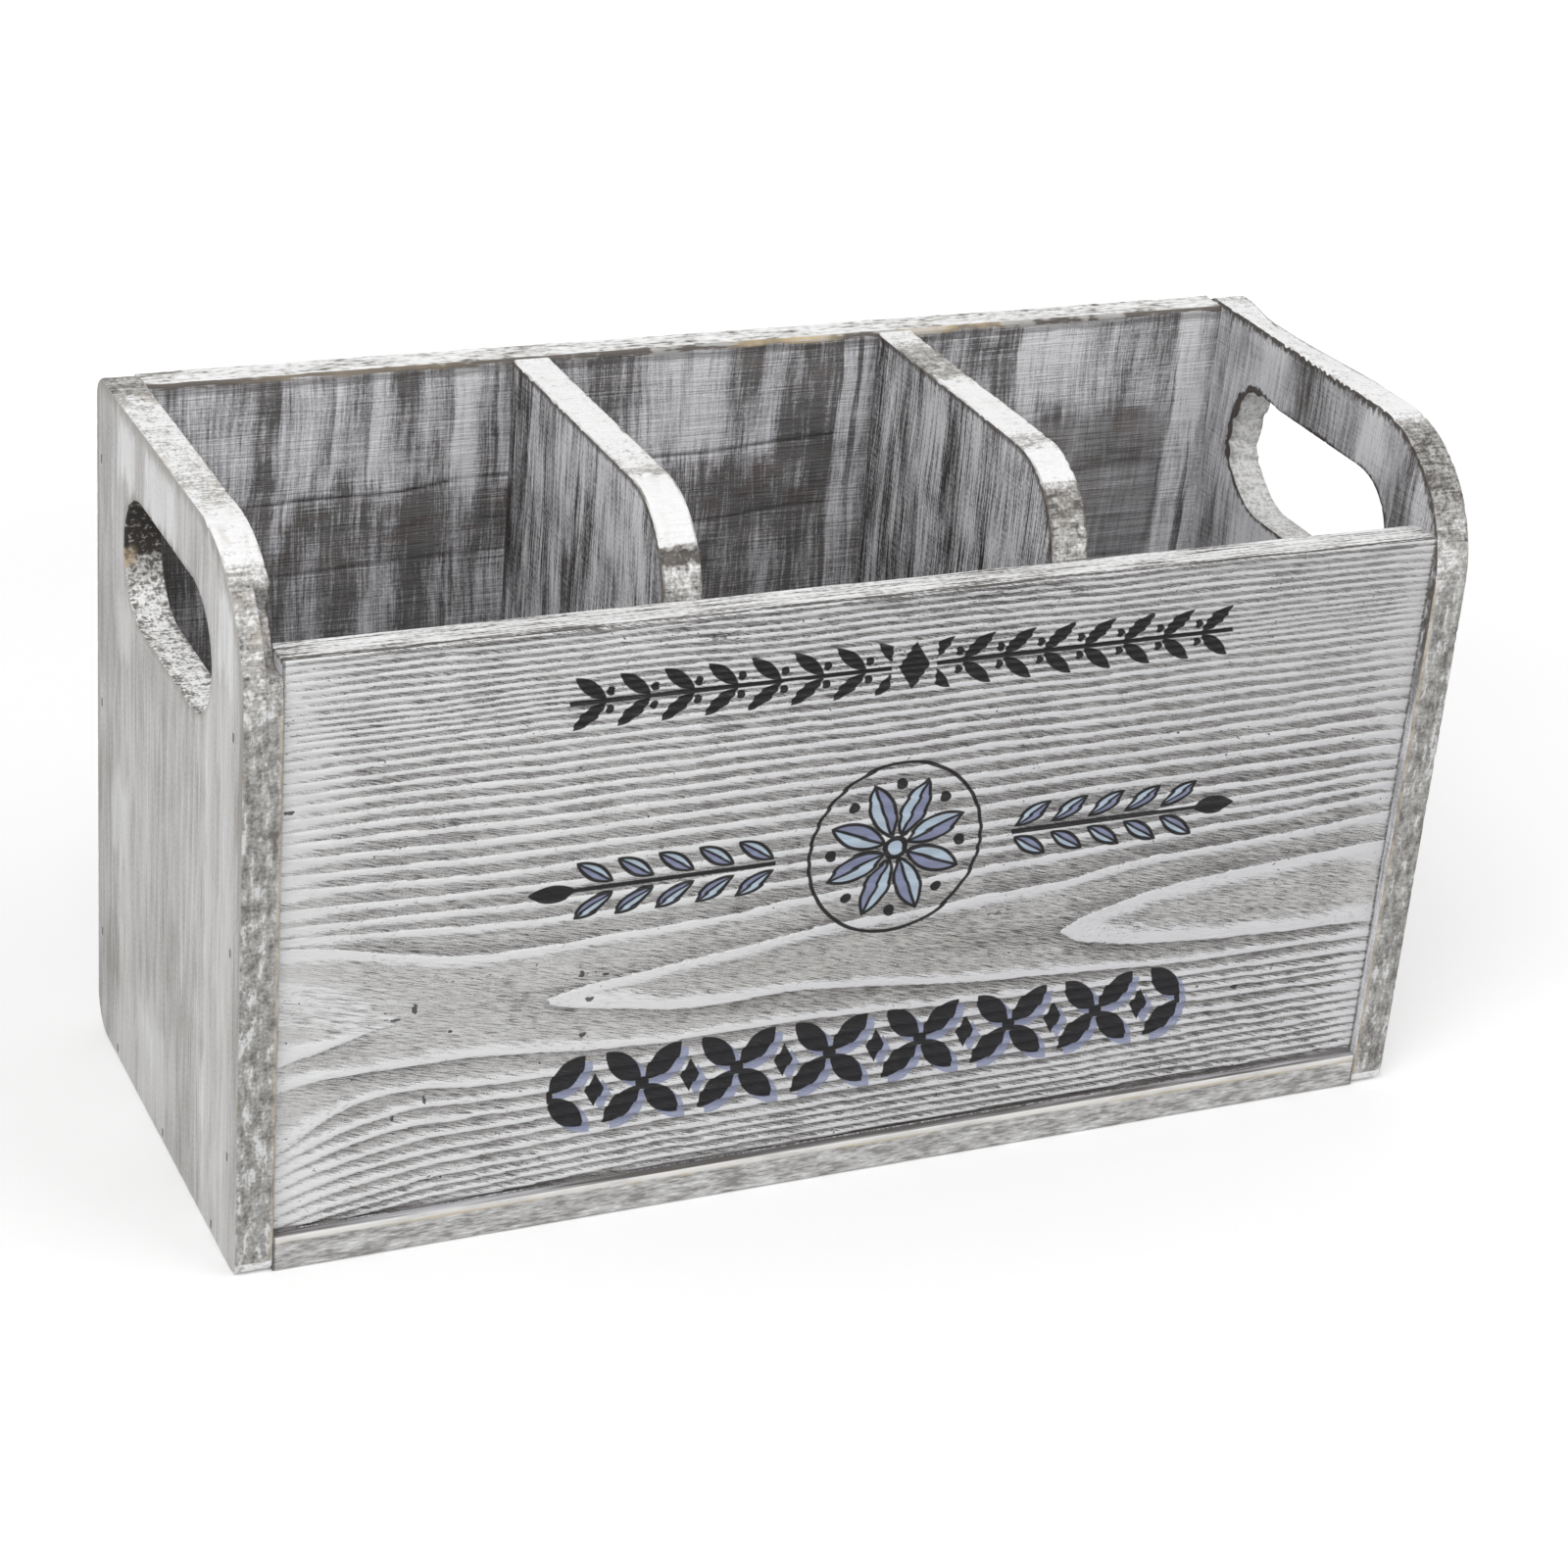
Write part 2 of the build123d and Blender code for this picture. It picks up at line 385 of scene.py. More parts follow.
def rowsOf(thickness, arris, holeArris=None):
    # rows across a panel: depth from its first face, inset from its outline, outset from its hole,
    # share of the way from outline to hole, and how far the row is from each arris, minus on an edge
    deep = faceInsets[-1]
    far = 30.0

    def face(depth, inward):
        # a face, from its outline in to the hole or the middle, or back out
        part = [(depth, i, 0, 0, i, far) for i in (arris, *faceInsets)]
        if holeArris is None:
            part += [(depth, deep, 0, share, far, far) for share in (0.25, 0.5, 0.75, 0.95)]
        else:
            part += [(depth, deep, deep, share, far, far) for share in (0.15, 0.32, 0.5, 0.68, 0.85)]
            part += [(depth, 0, o, 1, far, o) for o in (*faceInsets[::-1], holeArris)]
        return part if inward else part[::-1]

    def turn(size, atHole, first):
        # the rounded arris from a face to an edge; first says that the face is the one at depth 0
        part = []
        for a in np.linspace(0, math.pi / 2, 6)[1:-1]:
            off, sink = size * (1 - math.sin(a)), size * (1 - math.cos(a))
            depth, away = sink if first else thickness - sink, size * (1 - 4 * a / math.pi)
            part.append((depth, 0, off, 1, far, away) if atHole else (depth, off, 0, 0, away, far))
        return part

    def across(size, atHole):
        # the edge between the two arrises
        depths = np.linspace(size, thickness - size, 22)
        aways = [-min(d, thickness - d) for d in depths]
        return [(d, 0, 0, 1, far, a) if atHole else (d, 0, 0, 0, a, far) for d, a in zip(depths, aways)]

    if holeArris is None:
        rows = face(0.0, False) + turn(arris, False, True) + across(arris, False)
        rows += turn(arris, False, False)[::-1] + face(thickness, True)
    else:
        rows = face(0.0, True) + turn(holeArris, True, True) + across(holeArris, True)
        rows += turn(holeArris, True, False)[::-1] + face(thickness, False)
        rows += turn(arris, False, False) + across(arris, False)[::-1] + turn(arris, False, True)[::-1]
    return np.array(rows)


def countsFor(low, high, radii, step, fine):
    # points on each corner's arc and on the run after it; fine is how much denser each run is
    size = np.array(high) - np.array(low)
    counts = []
    for k in range(4):
        run = size[k % 2] - radii[k] - radii[(k + 1) % 4]
        counts.append((max(4, round(radii[k] * math.pi / 2 / step)), max(4, round(run * fine[k] / step))))
    return counts


def panel(name, node, outerX, innerX, radii, step, fine, arris, wear, hole=None):
    # a board cut to a side outline: its rows are carried round the outline; wear gives how far each
    # point is sunk. path is the distance forward along the top and down the front
    low, high = cornersOf(node)
    corners = (low[1:], high[1:])
    counts = countsFor(*corners, radii, step, fine)
    rows = rowsOf(abs(outerX - innerX), arris, hole and hole["arris"])
    outline, out = ringOf(*corners, radii, counts)
    lengths = np.linalg.norm(np.roll(outline, -1, 0) - outline, axis=1)
    path = np.concatenate([[0], np.cumsum(lengths)[:-1]])
    path = path - path[sum(map(sum, counts[:2])) + counts[2][0]]
    grid = np.zeros((len(rows), len(outline), 3))
    normals = np.zeros_like(grid)
    for k, (depth, inset, outset, share, _, _) in enumerate(rows):
        flat, normal = ringOf(*corners, radii, counts, inset)
        if hole:
            cut, facing = slotRing(outline, hole["centre"], hole["length"], hole["width"], outset)
            flat, normal = flat + share * (cut - flat), -facing if share == 1 else normal
        elif share:
            flat = flat + share * (np.mean(corners, 0) - flat)
        grid[k, :, 1:] = flat
        grid[k, :, 0] = outerX + (innerX - outerX) * depth / abs(outerX - innerX)
        normals[k, :, 1:] = normal
    layers = {
        "rim": np.repeat(rows[:, 4:5], len(outline), 1),
        "mouth": np.repeat(rows[:, 5:6], len(outline), 1),
        "path": np.repeat(path[None], len(rows), 0),
    }
    piece = skin(name, wear(grid, normals, layers), layers, joined=hole is not None)
    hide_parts(node)
    return piece


def sawn(grid, look, seed):
    # the depth of an edge's roughness: ripples across it, grit and a slow stray
    rough = 1 + lumps(grid, (5.0, 0.9, 0.9), seed) + 0.6 * lumps(grid, (1.1, 1.0, 1.0), seed + 1)
    rough = rough + 0.7 * lumps(grid, (3.0, 3.0, 3.0), seed + 4)
    stray = 0.5 + 0.5 * lumps(grid, (20, 12, 12), seed + 2)
    return look["rough"] * 0.5 * np.clip(rough, 0, 4) + look["wander"] * stray


def makeEnd(side):
    # one end; its edges are sawn and chipped. The left one has split at its round, and the right
    # one is torn along its inner arris and worn lower outside at the rear
    name = "left" if side < 0 else "right"
    low, high = cornersOf(name + "_end_board")
    outerX, innerX = (low[0], high[0]) if side < 0 else (high[0], low[0])
    look = endLook
    centre = np.array([(low[1] + high[1]) / 2, high[2] - look["holeDrop"]])
    hole = {
        "centre": centre,
        "length": look["holeLength"],
        "width": look["holeWidth"],
        "arris": look["holeArris"],
    }

    def wear(grid, normals, layers):
        rim, mouth, path = layers["rim"], layers["mouth"], layers["path"]
        inside = np.abs(grid[..., 0] - innerX)
        seed = 20 if side < 0 else 40
        top = smooth(high[2] - 48, high[2] - 25, grid[..., 2]) * 0.85 + 0.15
        chips = smooth(0.35, 0.8, lumps(grid, (1.8, 1.6, 1.6), seed + 3))
        chips *= hump(np.minimum(rim, mouth), 0, 0.7)
        sunk = sawn(grid, look, seed) * (smooth(0.6, -0.4, rim) * top + smooth(0.6, -0.4, mouth) * 0.7)
        sunk += 0.5 * chips * (top + 0.4)
        if side > 0:
            rear = smooth(84, 20, path) * smooth(-2, 16, path)
            slump = look["rightSlump"] * rear * smooth(2.0, 9.0, inside)
            sunk += np.where(rim < 20, np.clip(slump - 0.8 * np.clip(rim, 0, 30), 0, None), 0)
            tooth = smooth(-0.1, 0.5, lumps(grid, (9.0, 0.75, 9.0), seed + 5))
            torn = smooth(18, 30, path) * smooth(86, 76, path) * smooth(1.2, 0.2, inside)
            sunk += look["teeth"] * tooth * torn * (np.abs(rim) < 1.5)
            away = grid[..., 1:] - centre
            reach = smooth(18, 34, away[..., 0]) * smooth(-15, -5, away[..., 1]) * smooth(8, 1, mouth)
            reach = reach * (1 + look["rightTorn"] * lumps(grid, (8, 2.0, 2.0), seed + 6))
            grid[..., 1] += look["rightReach"] * reach
            grid[..., 2] += look["rightReach"] * reach * smooth(2, 12, away[..., 1]) * 0.9
        else:
            gone = smooth(109, 112, path + lumps(grid, (2, 2, 2), 31))
            gone *= smooth(131.5, 129, path + lumps(grid, (2, 2, 2), 32))
            gone *= smooth(look["splitWidth"] + 0.3, look["splitWidth"] - 0.3, inside)
            sunk = sunk + gone * np.clip(look["split"] - 0.9 * np.clip(rim, 0, 30), 0, None)
            crack = hump(inside, look["splitWidth"] + 0.02 * (path - 130), 0.28)
            crack *= smooth(129, 131, path) * smooth(152, 143, path)
            sunk = sunk + 0.6 * crack * (rim < 0)
        return grid - normals * sunk[..., None]

    radii = (look["toe"], look["heel"], look["rearRound"], look["round"])
    piece = panel(name + "End", name + "_end_board", outerX, innerX, radii, look["step"],
                  (0.5, 0.55, 1.0, 0.9), look["arris"], wear, hole)
    return piece


def makeDivider(side):
    # one divider, rough along its top and its round
    name = "left" if side < 0 else "right"
    low, high = cornersOf(name + "_divider")
    look = dividerLook

    def wear(grid, normals, layers):
        rim, path = layers["rim"], layers["path"]
        seed = 60 if side < 0 else 80
        top = smooth(0, 2, path) * smooth(125, 118, path)
        chips = smooth(0.3, 0.8, lumps(grid, (1.8, 1.5, 1.5), seed + 3)) * hump(rim, 0, 0.7)
        sunk = (smooth(0.6, -0.4, rim) * sawn(grid, look, seed) + 0.55 * chips) * top
        if side < 0:
            sunk += 0.8 * hump(path, 104.5, 1.6) * smooth(0.4, -1.0, rim)
            sunk += 0.5 * hump(path, 78.5 + 0.25 * (grid[..., 0] - low[0]), 0.45) * smooth(0.4, -0.4, rim)
        return grid - normals * sunk[..., None]

    radii = (hidden, hidden, hidden, look["round"])
    piece = panel(name + "Divider", name + "_divider", low[0], high[0], radii, look["step"],
                  (0.3, 0.3, 1.0, 0.4), look["arris"], wear)
    return piece


# The boards that lie lengthwise

frontLook = {
    "arris": 1.2,
    "rearArris": 0.8,
    "relief": 0.55,           # how deep the soft wood is brushed out
    "slant": 0.28,            # how steeply the brush's hatch runs down
    # the grain's middle line and where it has run out of rings: whole numbers are the tips
    "heart": ((0, 52.7), (66, 53), (206, 51.2), (301, 51.2)),
    "tips": ((0, -0.55), (15, -0.35), (30, 0), (48, 0.3), (66, 0), (100, -0.3), (138, -0.62),
             (172, -0.82), (206, -1), (240, -1.3), (301, -1.5)),
    # rings by number: distance from the left end and height above the board's lower edge
    "ringsUp": {
        9: ((206, 51.2), (210, 54.4), (221, 56.8), (231, 58.9), (250, 60.8), (271, 62.8), (301, 64)),
        10: ((0, 68.2), (10, 65.5), (20, 61.2), (30, 52.9), (65, 53.1), (80, 55.5), (100, 57.7),
             (120, 60.3), (140, 62.7), (160, 63), (180, 64.3), (205, 65.5), (216, 67.3), (231, 69),
             (260, 70.2), (301, 72.2)),
        11: ((0, 76.5), (10, 75.2), (20, 73.2), (30, 70.9), (40, 68.9), (50, 68.1), (65, 67.8),
             (80, 68.6), (100, 69.1), (115, 69.4), (130, 71.1), (150, 72.4), (158, 71.5), (182, 72.5),
             (205, 73.3), (221, 74.2), (240, 75.6), (301, 77.9)),
        12: ((0, 79.3), (20, 77.9), (40, 76.7), (60, 75.8), (80, 75.3), (100, 75.8), (130, 76.6),
             (150, 77.4), (190, 77.9), (220, 78.3), (240, 79.5), (301, 81)),
        13: ((0, 82.3), (20, 81.5), (50, 80.7), (80, 80.1), (110, 80.5), (150, 81), (220, 81.5),
             (240, 82.7), (301, 84.5)),
        14: ((0, 86.6), (50, 85.2), (80, 84.7), (130, 85), (170, 85.3), (207, 85.6), (230, 86.6),
             (301, 87.6)),
        15: ((0, 91.7), (20, 91), (50, 89.5), (110, 90), (170, 90.4), (250, 91.5), (301, 92)),
        16: ((0, 95.3), (50, 94), (170, 94.8), (301, 96.3)),
        17: ((0, 99.5), (50, 98.5), (110, 98.9), (170, 99.1), (301, 100.4)),
        18: ((0, 103.5), (50, 102.7), (113, 102.7), (170, 103.3), (301, 104.6)),
        21: ((0, 113.2), (113, 112.8), (301, 114.2)),
        25: ((0, 124.6), (113, 124.3), (301, 125)),
        27: ((0, 128.6), (301, 129)),
        31: ((0, 135.2), (301, 135.2)),
        38: ((0, 149.8), (301, 149.8)),
    },
    "ringsDown": {
        9: ((206, 51.2), (210, 47.5), (221, 45.2), (231, 43.5), (250, 41.7), (271, 40.7), (301, 39.7)),
        10: ((0, 44.5), (10, 47), (20, 50), (30, 52.5), (65, 52.9), (70, 50), (80, 48.1), (90, 46.5),
             (100, 44.9), (113, 44.2), (130, 45.2), (150, 43.4), (170, 40.9), (190, 39.1), (210, 37.8),
             (240, 36.2), (301, 35)),
        11: ((0, 38), (10, 39.8), (30, 40.3), (50, 39.7), (75, 37.3), (100, 36.1), (140, 35.8),
             (180, 34), (230, 32), (301, 31)),
        12: ((0, 21), (5, 23.5), (10, 27), (15, 30), (20, 31.8), (25, 33), (35, 33.5), (50, 31.3),
             (100, 31), (200, 29.8), (301, 28.2)),
        13: ((0, 18), (5, 20), (10, 22), (15, 24), (20, 25.7), (35, 28.3), (50, 27.3), (200, 26.9),
             (301, 26.2)),
        14: ((0, 14), (10, 18), (20, 21), (30, 23.1), (50, 23.4), (301, 23.4)),
        15: ((0, 10.5), (10, 14), (20, 16.5), (40, 19.4), (100, 20.3), (301, 19.3)),
        16: ((0, 7), (10, 10), (20, 12.5), (40, 15.2), (100, 17), (301, 16.8)),
        18: ((0, 0.5), (10, 3.5), (20, 5), (40, 8), (100, 10), (301, 11.5)),
        22: ((0, -8), (20, -4), (100, 0.5), (301, 2)),
        24: ((0, -13), (301, -3)),
    },
    "crest": (0.44, 0.1, 1.3),  # a hard ring end's share of a narrow ring, and of a wide one plus a width
    # nicks: distance from the left end, height above the lower edge, length and width
    "nicks": ((34, 55.5, 0.8, 1.3), (76, 58.5, 1.3, 0.8), (82, 57.5, 0.8, 0.5), (78, 51.6, 1.2, 0.7),
              (29.5, 53.3, 1.4, 0.4), (37.3, 30.5, 0.5, 1.3), (29.5, 26, 0.5, 0.9),
              (77, 41.5, 1.0, 0.7), (43, 48, 0.6, 0.4), (2, 111.5, 1.2, 0.6), (261, 26, 1.0, 0.7)),
    # smears of dark stain: from and to, lower and upper height
    "smears": ((150, 204, 143, 148.5), (212, 240, 85, 90.5), (140, 192, 57.5, 61.5), (20, 30, 37, 40.5),
               (96, 122, 142, 149)),
}
backLook = {
    "arris": 1.5,
    "rearArris": 0.8,
    # each crack's two ends, from the left end of the board and from the ground
    "cracks": ((27, 146.5, 287, 156), (32, 127.5, 286, 136.7)),
    # how open they are along the board
    "crackOpen": ((0, 1), (78, 1), (81, 0.35), (86, 0.35), (88, 0.9), (186, 0.9), (188, 0), (200, 0),
                  (208, 0.5), (286, 0.3), (289, 0)),
}
bottomLook = {"arris": 0.8}


def beam(name, node, radii, counts, columns, wear):
    # a board along X: the rounded section is carried from end to end, and wear gives how far each
    # point is sunk and what is painted there
    low, high = cornersOf(node)
    section, out = ringOf(low[1:], high[1:], radii, counts)
    ends = (low[0], low[0] + 0.05, high[0] - 0.05, high[0])
    along = np.sort(np.concatenate([np.linspace(low[0], high[0], columns)[1:-1], ends]))
    grid = np.zeros((len(along), len(section), 3))
    grid[..., 0] = along[:, None]
    grid[..., 1:] = section
    normals = np.broadcast_to(np.concatenate([np.zeros((len(out), 1)), out], 1), grid.shape)
    sunk, layers = wear(grid, normals, low, high)
    piece = skin(name, grid - normals * sunk[..., None], layers)
    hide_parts(node)
    return piece


def drawn(points, across, soft=2.5):
    # a line through points, its bends rounded
    reach = np.linspace(-30, 331, 1445)
    kernel = hump(np.arange(-40, 41) / 4, 0, soft)
    line = np.pad(np.interp(reach, *np.transpose(points)), 40, "edge")
    run = np.convolve(line, kernel / kernel.sum(), "valid")
    return np.interp(across, reach, run)


def frontRings(across, up):
    # the grain's ring number over the front, from the left end and the lower edge: it grows both ways
    # from the middle line, and runs evenly from one drawn ring to the next
    look = frontLook
    spot = np.stack([across, up, np.zeros_like(across)], -1)
    up = up + 0.4 * lumps(spot, (30, 12, 9), 5) + 0.16 * lumps(spot, (9, 5, 9), 6)
    heart = drawn(look["heart"], across, 5)
    least = 10 + drawn(look["tips"], across, 5)
    total = least.copy()
    for rings, way in ((look["ringsUp"], 1), (look["ringsDown"], -1)):
        height, number = heart, least
        for ring, points in rings.items():
            after = np.where(least < ring, np.maximum(way * (drawn(points, across) - height), 0.3), 0.01)
            later = np.maximum(number, ring)
            total += (later - number) * np.clip(way * (up - height) / after, 0, 1)
            height, number = height + way * np.where(least < ring, after, 0), later
    return total


def ringWidth(across, up):
    # millimetres from one ring to the next: 1 / the slope of the ring number
    step = 0.4
    slopes = []
    for a, b in ((step, 0), (0, step)):
        slopes.append((frontRings(across + a, up + b) - frontRings(across - a, up - b)) / (2 * step))
    return np.clip(1 / np.maximum(np.hypot(*slopes), 0.02), 1.5, 40)


def makeFront():
    # the front: hard ring ends stand proud, sharp on one side, and the soft wood between is hollow
    look = frontLook
    narrow, wide, least = look["crest"]

    def wear(grid, normals, low, high):
        across, up = grid[..., 0] - low[0], grid[..., 2] - low[2]
        rings, width = frontRings(across, up), ringWidth(across, up)
        ahead = (1 - rings + np.floor(rings)) * width
        crest = smooth(1.7, 0.5, ahead / np.minimum(narrow * width, wide * width + least))
        crest *= 1 - 0.85 * smooth(87, 78, across + up * 0.8) * smooth(52, 57, up + across * 0.25)
        faced = np.clip(-normals[..., 1], 0, 1) * smooth(high[2] - 0.3, high[2] - 1.6, grid[..., 2])
        ends = smooth(0.5, 7, across) * smooth(0.5, 7, high[0] - low[0] - across)
        sunk = look["relief"] * (1 - crest) * (0.35 + 0.65 * ends) * faced
        sunk += 0.1 * faced * (0.5 + 0.5 * lumps(grid, (9, 1, 0.9), 8))
        top = np.clip(normals[..., 2], 0, 1) * (grid[..., 2] > high[2] - 3)
        sunk += top * 0.16 * (1 + lumps(grid, (14, 1.3, 1.3), 9))
        return sunk, {"ring": rings, "width": width, "faced": np.clip(-normals[..., 1], 0, 1)}

    counts = [(2, 8), (2, 14), (6, 22), (7, 372)]
    radii = (hidden, hidden, look["rearArris"], look["arris"])
    piece = beam("frontBoard", "front_board", radii, counts, 214, wear)
    return piece


def crackDepth(grid, low):
    # how near a point is to a drying crack, each a wandering line along the grain
    total = np.zeros(grid.shape[:2])
    across = grid[..., 0] - low[0]
    openness = np.interp(across, *np.transpose(backLook["crackOpen"]))
    for k, (x0, z0, x1, z1) in enumerate(backLook["cracks"]):
        line = z0 + (z1 - z0) * (across - x0) / (x1 - x0)
        line += 0.9 * lumps(grid * (1, 0, 0), (22, 1, 1), 90 + k)
        near = hump(grid[..., 2], line, 0.4) * smooth(x0 - 6, x0 + 4, across)
        near *= smooth(x1 + 8, x1 - 6, across)
        total = np.maximum(total, near * openness * (1 - 0.3 * k))
    return total


def makeBack():
    # the back: rough along its top, its inside cracked along the grain
    look = backLook

    def wear(grid, normals, low, high):
        inside = np.clip(-normals[..., 1], 0, 1)
        crack = crackDepth(grid, low) * inside
        top = np.clip(normals[..., 2], 0, 1) * (grid[..., 2] > high[2] - 4)
        sunk = 0.5 * crack + top * 0.2 * (1 + lumps(grid, (6, 1.2, 1.2), 11))
        sunk += top * 0.1 * (1 + lumps(grid, (1.3, 0.9, 1), 12))
        sunk += 0.06 * inside * (1 + lumps(grid, (12, 1, 0.9), 13))
        return sunk, {"crack": crack, "faced": inside}

    counts = [(2, 8), (2, 150), (6, 24), (8, 300)]
    radii = (hidden, hidden, look["rearArris"], look["arris"])
    piece = beam("backBoard", "back_board", radii, counts, 190, wear)
    return piece


def makeBottom():
    # the bottom board, its front edge a little uneven
    look = bottomLook

    def wear(grid, normals, low, high):
        front = np.clip(-normals[..., 1], 0, 1)
        sunk = 0.12 * front * (1 + lumps(grid, (10, 1.3, 1.3), 14))
        sunk += 0.03 * (1 + lumps(grid, (8, 3, 3), 15))
        return sunk, {"faced": front}

    counts = [(6, 40), (6, 14), (2, 60), (6, 22)]
    radii = (look["arris"], look["arris"], hidden, look["arris"])
    piece = beam("bottomBoard", "bottom_board", radii, counts, 200, wear)
    return piece


# Finishes

# rows of set brads on each face: the first and the last one's place, and how many
bradRows = {
    "end": (((-43, 3), (43, 3), 3), ((-55.5, 29.5), (-55.5, 139), 3), ((58.25, 29.5), (58.25, 161), 3)),
    "rear": (((-49.5, 29.5), (-49.5, 160.5), 3), ((49.5, 29.5), (49.5, 160.5), 3)),
    "underside": (((-52.5, -30.5), (-52.5, 33.5), 2), ((52.5, -30.5), (52.5, 33.5), 2)),
}


def bradHoleShade(a, b, rows):
    # the holes that set brads leave, painted dark: partly painted shade in the hole, since the boards have
    # no holes cut, and partly the bare wood in it
    total = 0.0
    for first, last, count in rows:
        for k in range(count):
            middle = [low + (high - low) * k / (count - 1) for low, high in zip(first, last)]
            inside = (0.62 - abs(a - middle[0])).math("MINIMUM", 1.2 - abs(b - middle[1]))
            total = inside.over(-0.1, 0.15) + total
    return total


def outsideWash(book, look, forward, rim, mouth, cloud, thread, seed):
    # an end's outer face: wash in upright streaks and patches, brown towards its arrises
    y, z = book.y, book.z
    grit = book.noise(y, z, (0.8, 1.1), seed + 18, 3.0)
    mottle = book.noise(y, z, (3.5, 34), seed + 21, 3.0)
    thin = book.noise(y, z, (0.35, 60), seed + 22, 1.0).over(0.6, 1.0)
    dark = book.noise(y, z, (0.5, 40), seed + 23, 1.0).over(0.6, 1.1)
    wash = book.profile(forward + cloud * 1.5, look["outside"])
    wash = wash + mottle * 0.12 + cloud * 0.13 + grit * 0.1
    wash = wash + thin * 0.42 - dark * 0.3 + thread * 0.12
    for low, high, bottom, top, amount in look["outsidePatches"]:
        beside = (forward + mottle * 1.5).band(low, high, 1.6)
        wash = wash + beside * (z + mottle * 3).band(bottom, top, 3) * amount
    face = book.mix(tint(150, 147, 143), tint(206, 205, 204), wash.over(0.0, 0.8))
    face = book.mix(face, tint(232, 232, 233), wash.over(0.75, 1.3))
    soft = (rim + mottle * 1.2).over(4.5, 0.6) * z.over(60, 130)
    soft = soft + (mouth + mottle * 0.8).over(2.2, 0.4) * 0.8
    face = book.mix(face, tint(142, 136, 129), soft.clamp() * 0.55)
    # the holes of the set brads, painted as shade and bare wood
    return book.mix(face, paints["socket"], bradHoleShade(y, z, bradRows["end"]) * 0.85)


def sawnEdge(book, look, path, noises, seed):
    # a sawn edge painted along its path, plain and streaked down the front
    cross, blot, speck, rough = noises
    level = cross * 0.3 + blot * 0.25 + speck * 0.3 + rough * 0.2 + look["edge"]
    for low, high, soft, amount in look["edgeBands"]:
        level = level + (path + blot * 1.2).band(low, high, soft) * amount
    edge = book.mix(tint(84, 81, 78), tint(172, 170, 167), level.over(-0.4, 0.4))
    edge = book.mix(edge, tint(240, 240, 240), level.over(0.25, 1.0))
    warm = book.noise3((4, 9, 9), seed + 15, 2.0)
    edge = book.mix(edge, tint(186, 174, 160), (warm * 0.7 - 0.15).clamp() * look["warmth"])
    upright = book.noise3((1.5, 30, 5.5), seed + 16, 3.0)
    mottled = (upright * 0.4 + blot * 0.38 + speck * 0.3 + 0.58).clamp()
    plain = book.mix(tint(108, 105, 102), tint(182, 181, 178), mottled)
    plain = book.mix(plain, tint(212, 212, 213), (upright + speck * 0.25 + blot * 0.3).over(0.3, 0.9))
    # a strip of bare wood along the inner arris
    strip = abs(book.x).band(150.6, 151.5, 0.25) * (blot * 0.4 + 0.75)
    plain = book.mix(plain, tint(196, 182, 160), strip.clamp() * 0.6)
    return book.mix(edge, plain, path.over(136, 143))


def holeWall(book, look, mouth, noises):
    # the wall of a hand hole, and where it was burnt, torn and left bare at the rear
    y, z = book.y, book.z
    cross, blot, speck, rough = noises
    grit = speck * 0.4 + rough * 0.3 + cross * 0.25
    light = (grit + 0.55 + mouth.over(-3.0, -0.4) * -0.25).over(0.0, 0.8)
    wall = book.mix(look["holeDark"], look["holeLight"], light)
    if not look["burnt"]:
        return wall
    rear = (y + blot).over(9, 15)
    block = book.mix(tint(92, 88, 84), tint(206, 205, 203), (grit + 0.35).over(0.0, 0.75))
    wall = book.mix(wall, block, rear * (z + blot * 0.6).over(137.5, 138.6))
    burnt = book.mix(tint(56, 52, 49), tint(184, 181, 177), (grit * 1.3 - 0.05).over(0.05, 0.9))
    wall = book.mix(wall, burnt, rear * (z + blot * 0.8).over(143.5, 144.6))
    bare = (y + blot * 1.5).over(34, 36.5) * (z + blot).band(141.5, 145.5, 1.0)
    bare = bare * abs(book.x).over(156, 158) * (grit * 0.8 + 0.7).clamp()
    return book.mix(wall, tint(190, 170, 142), bare)


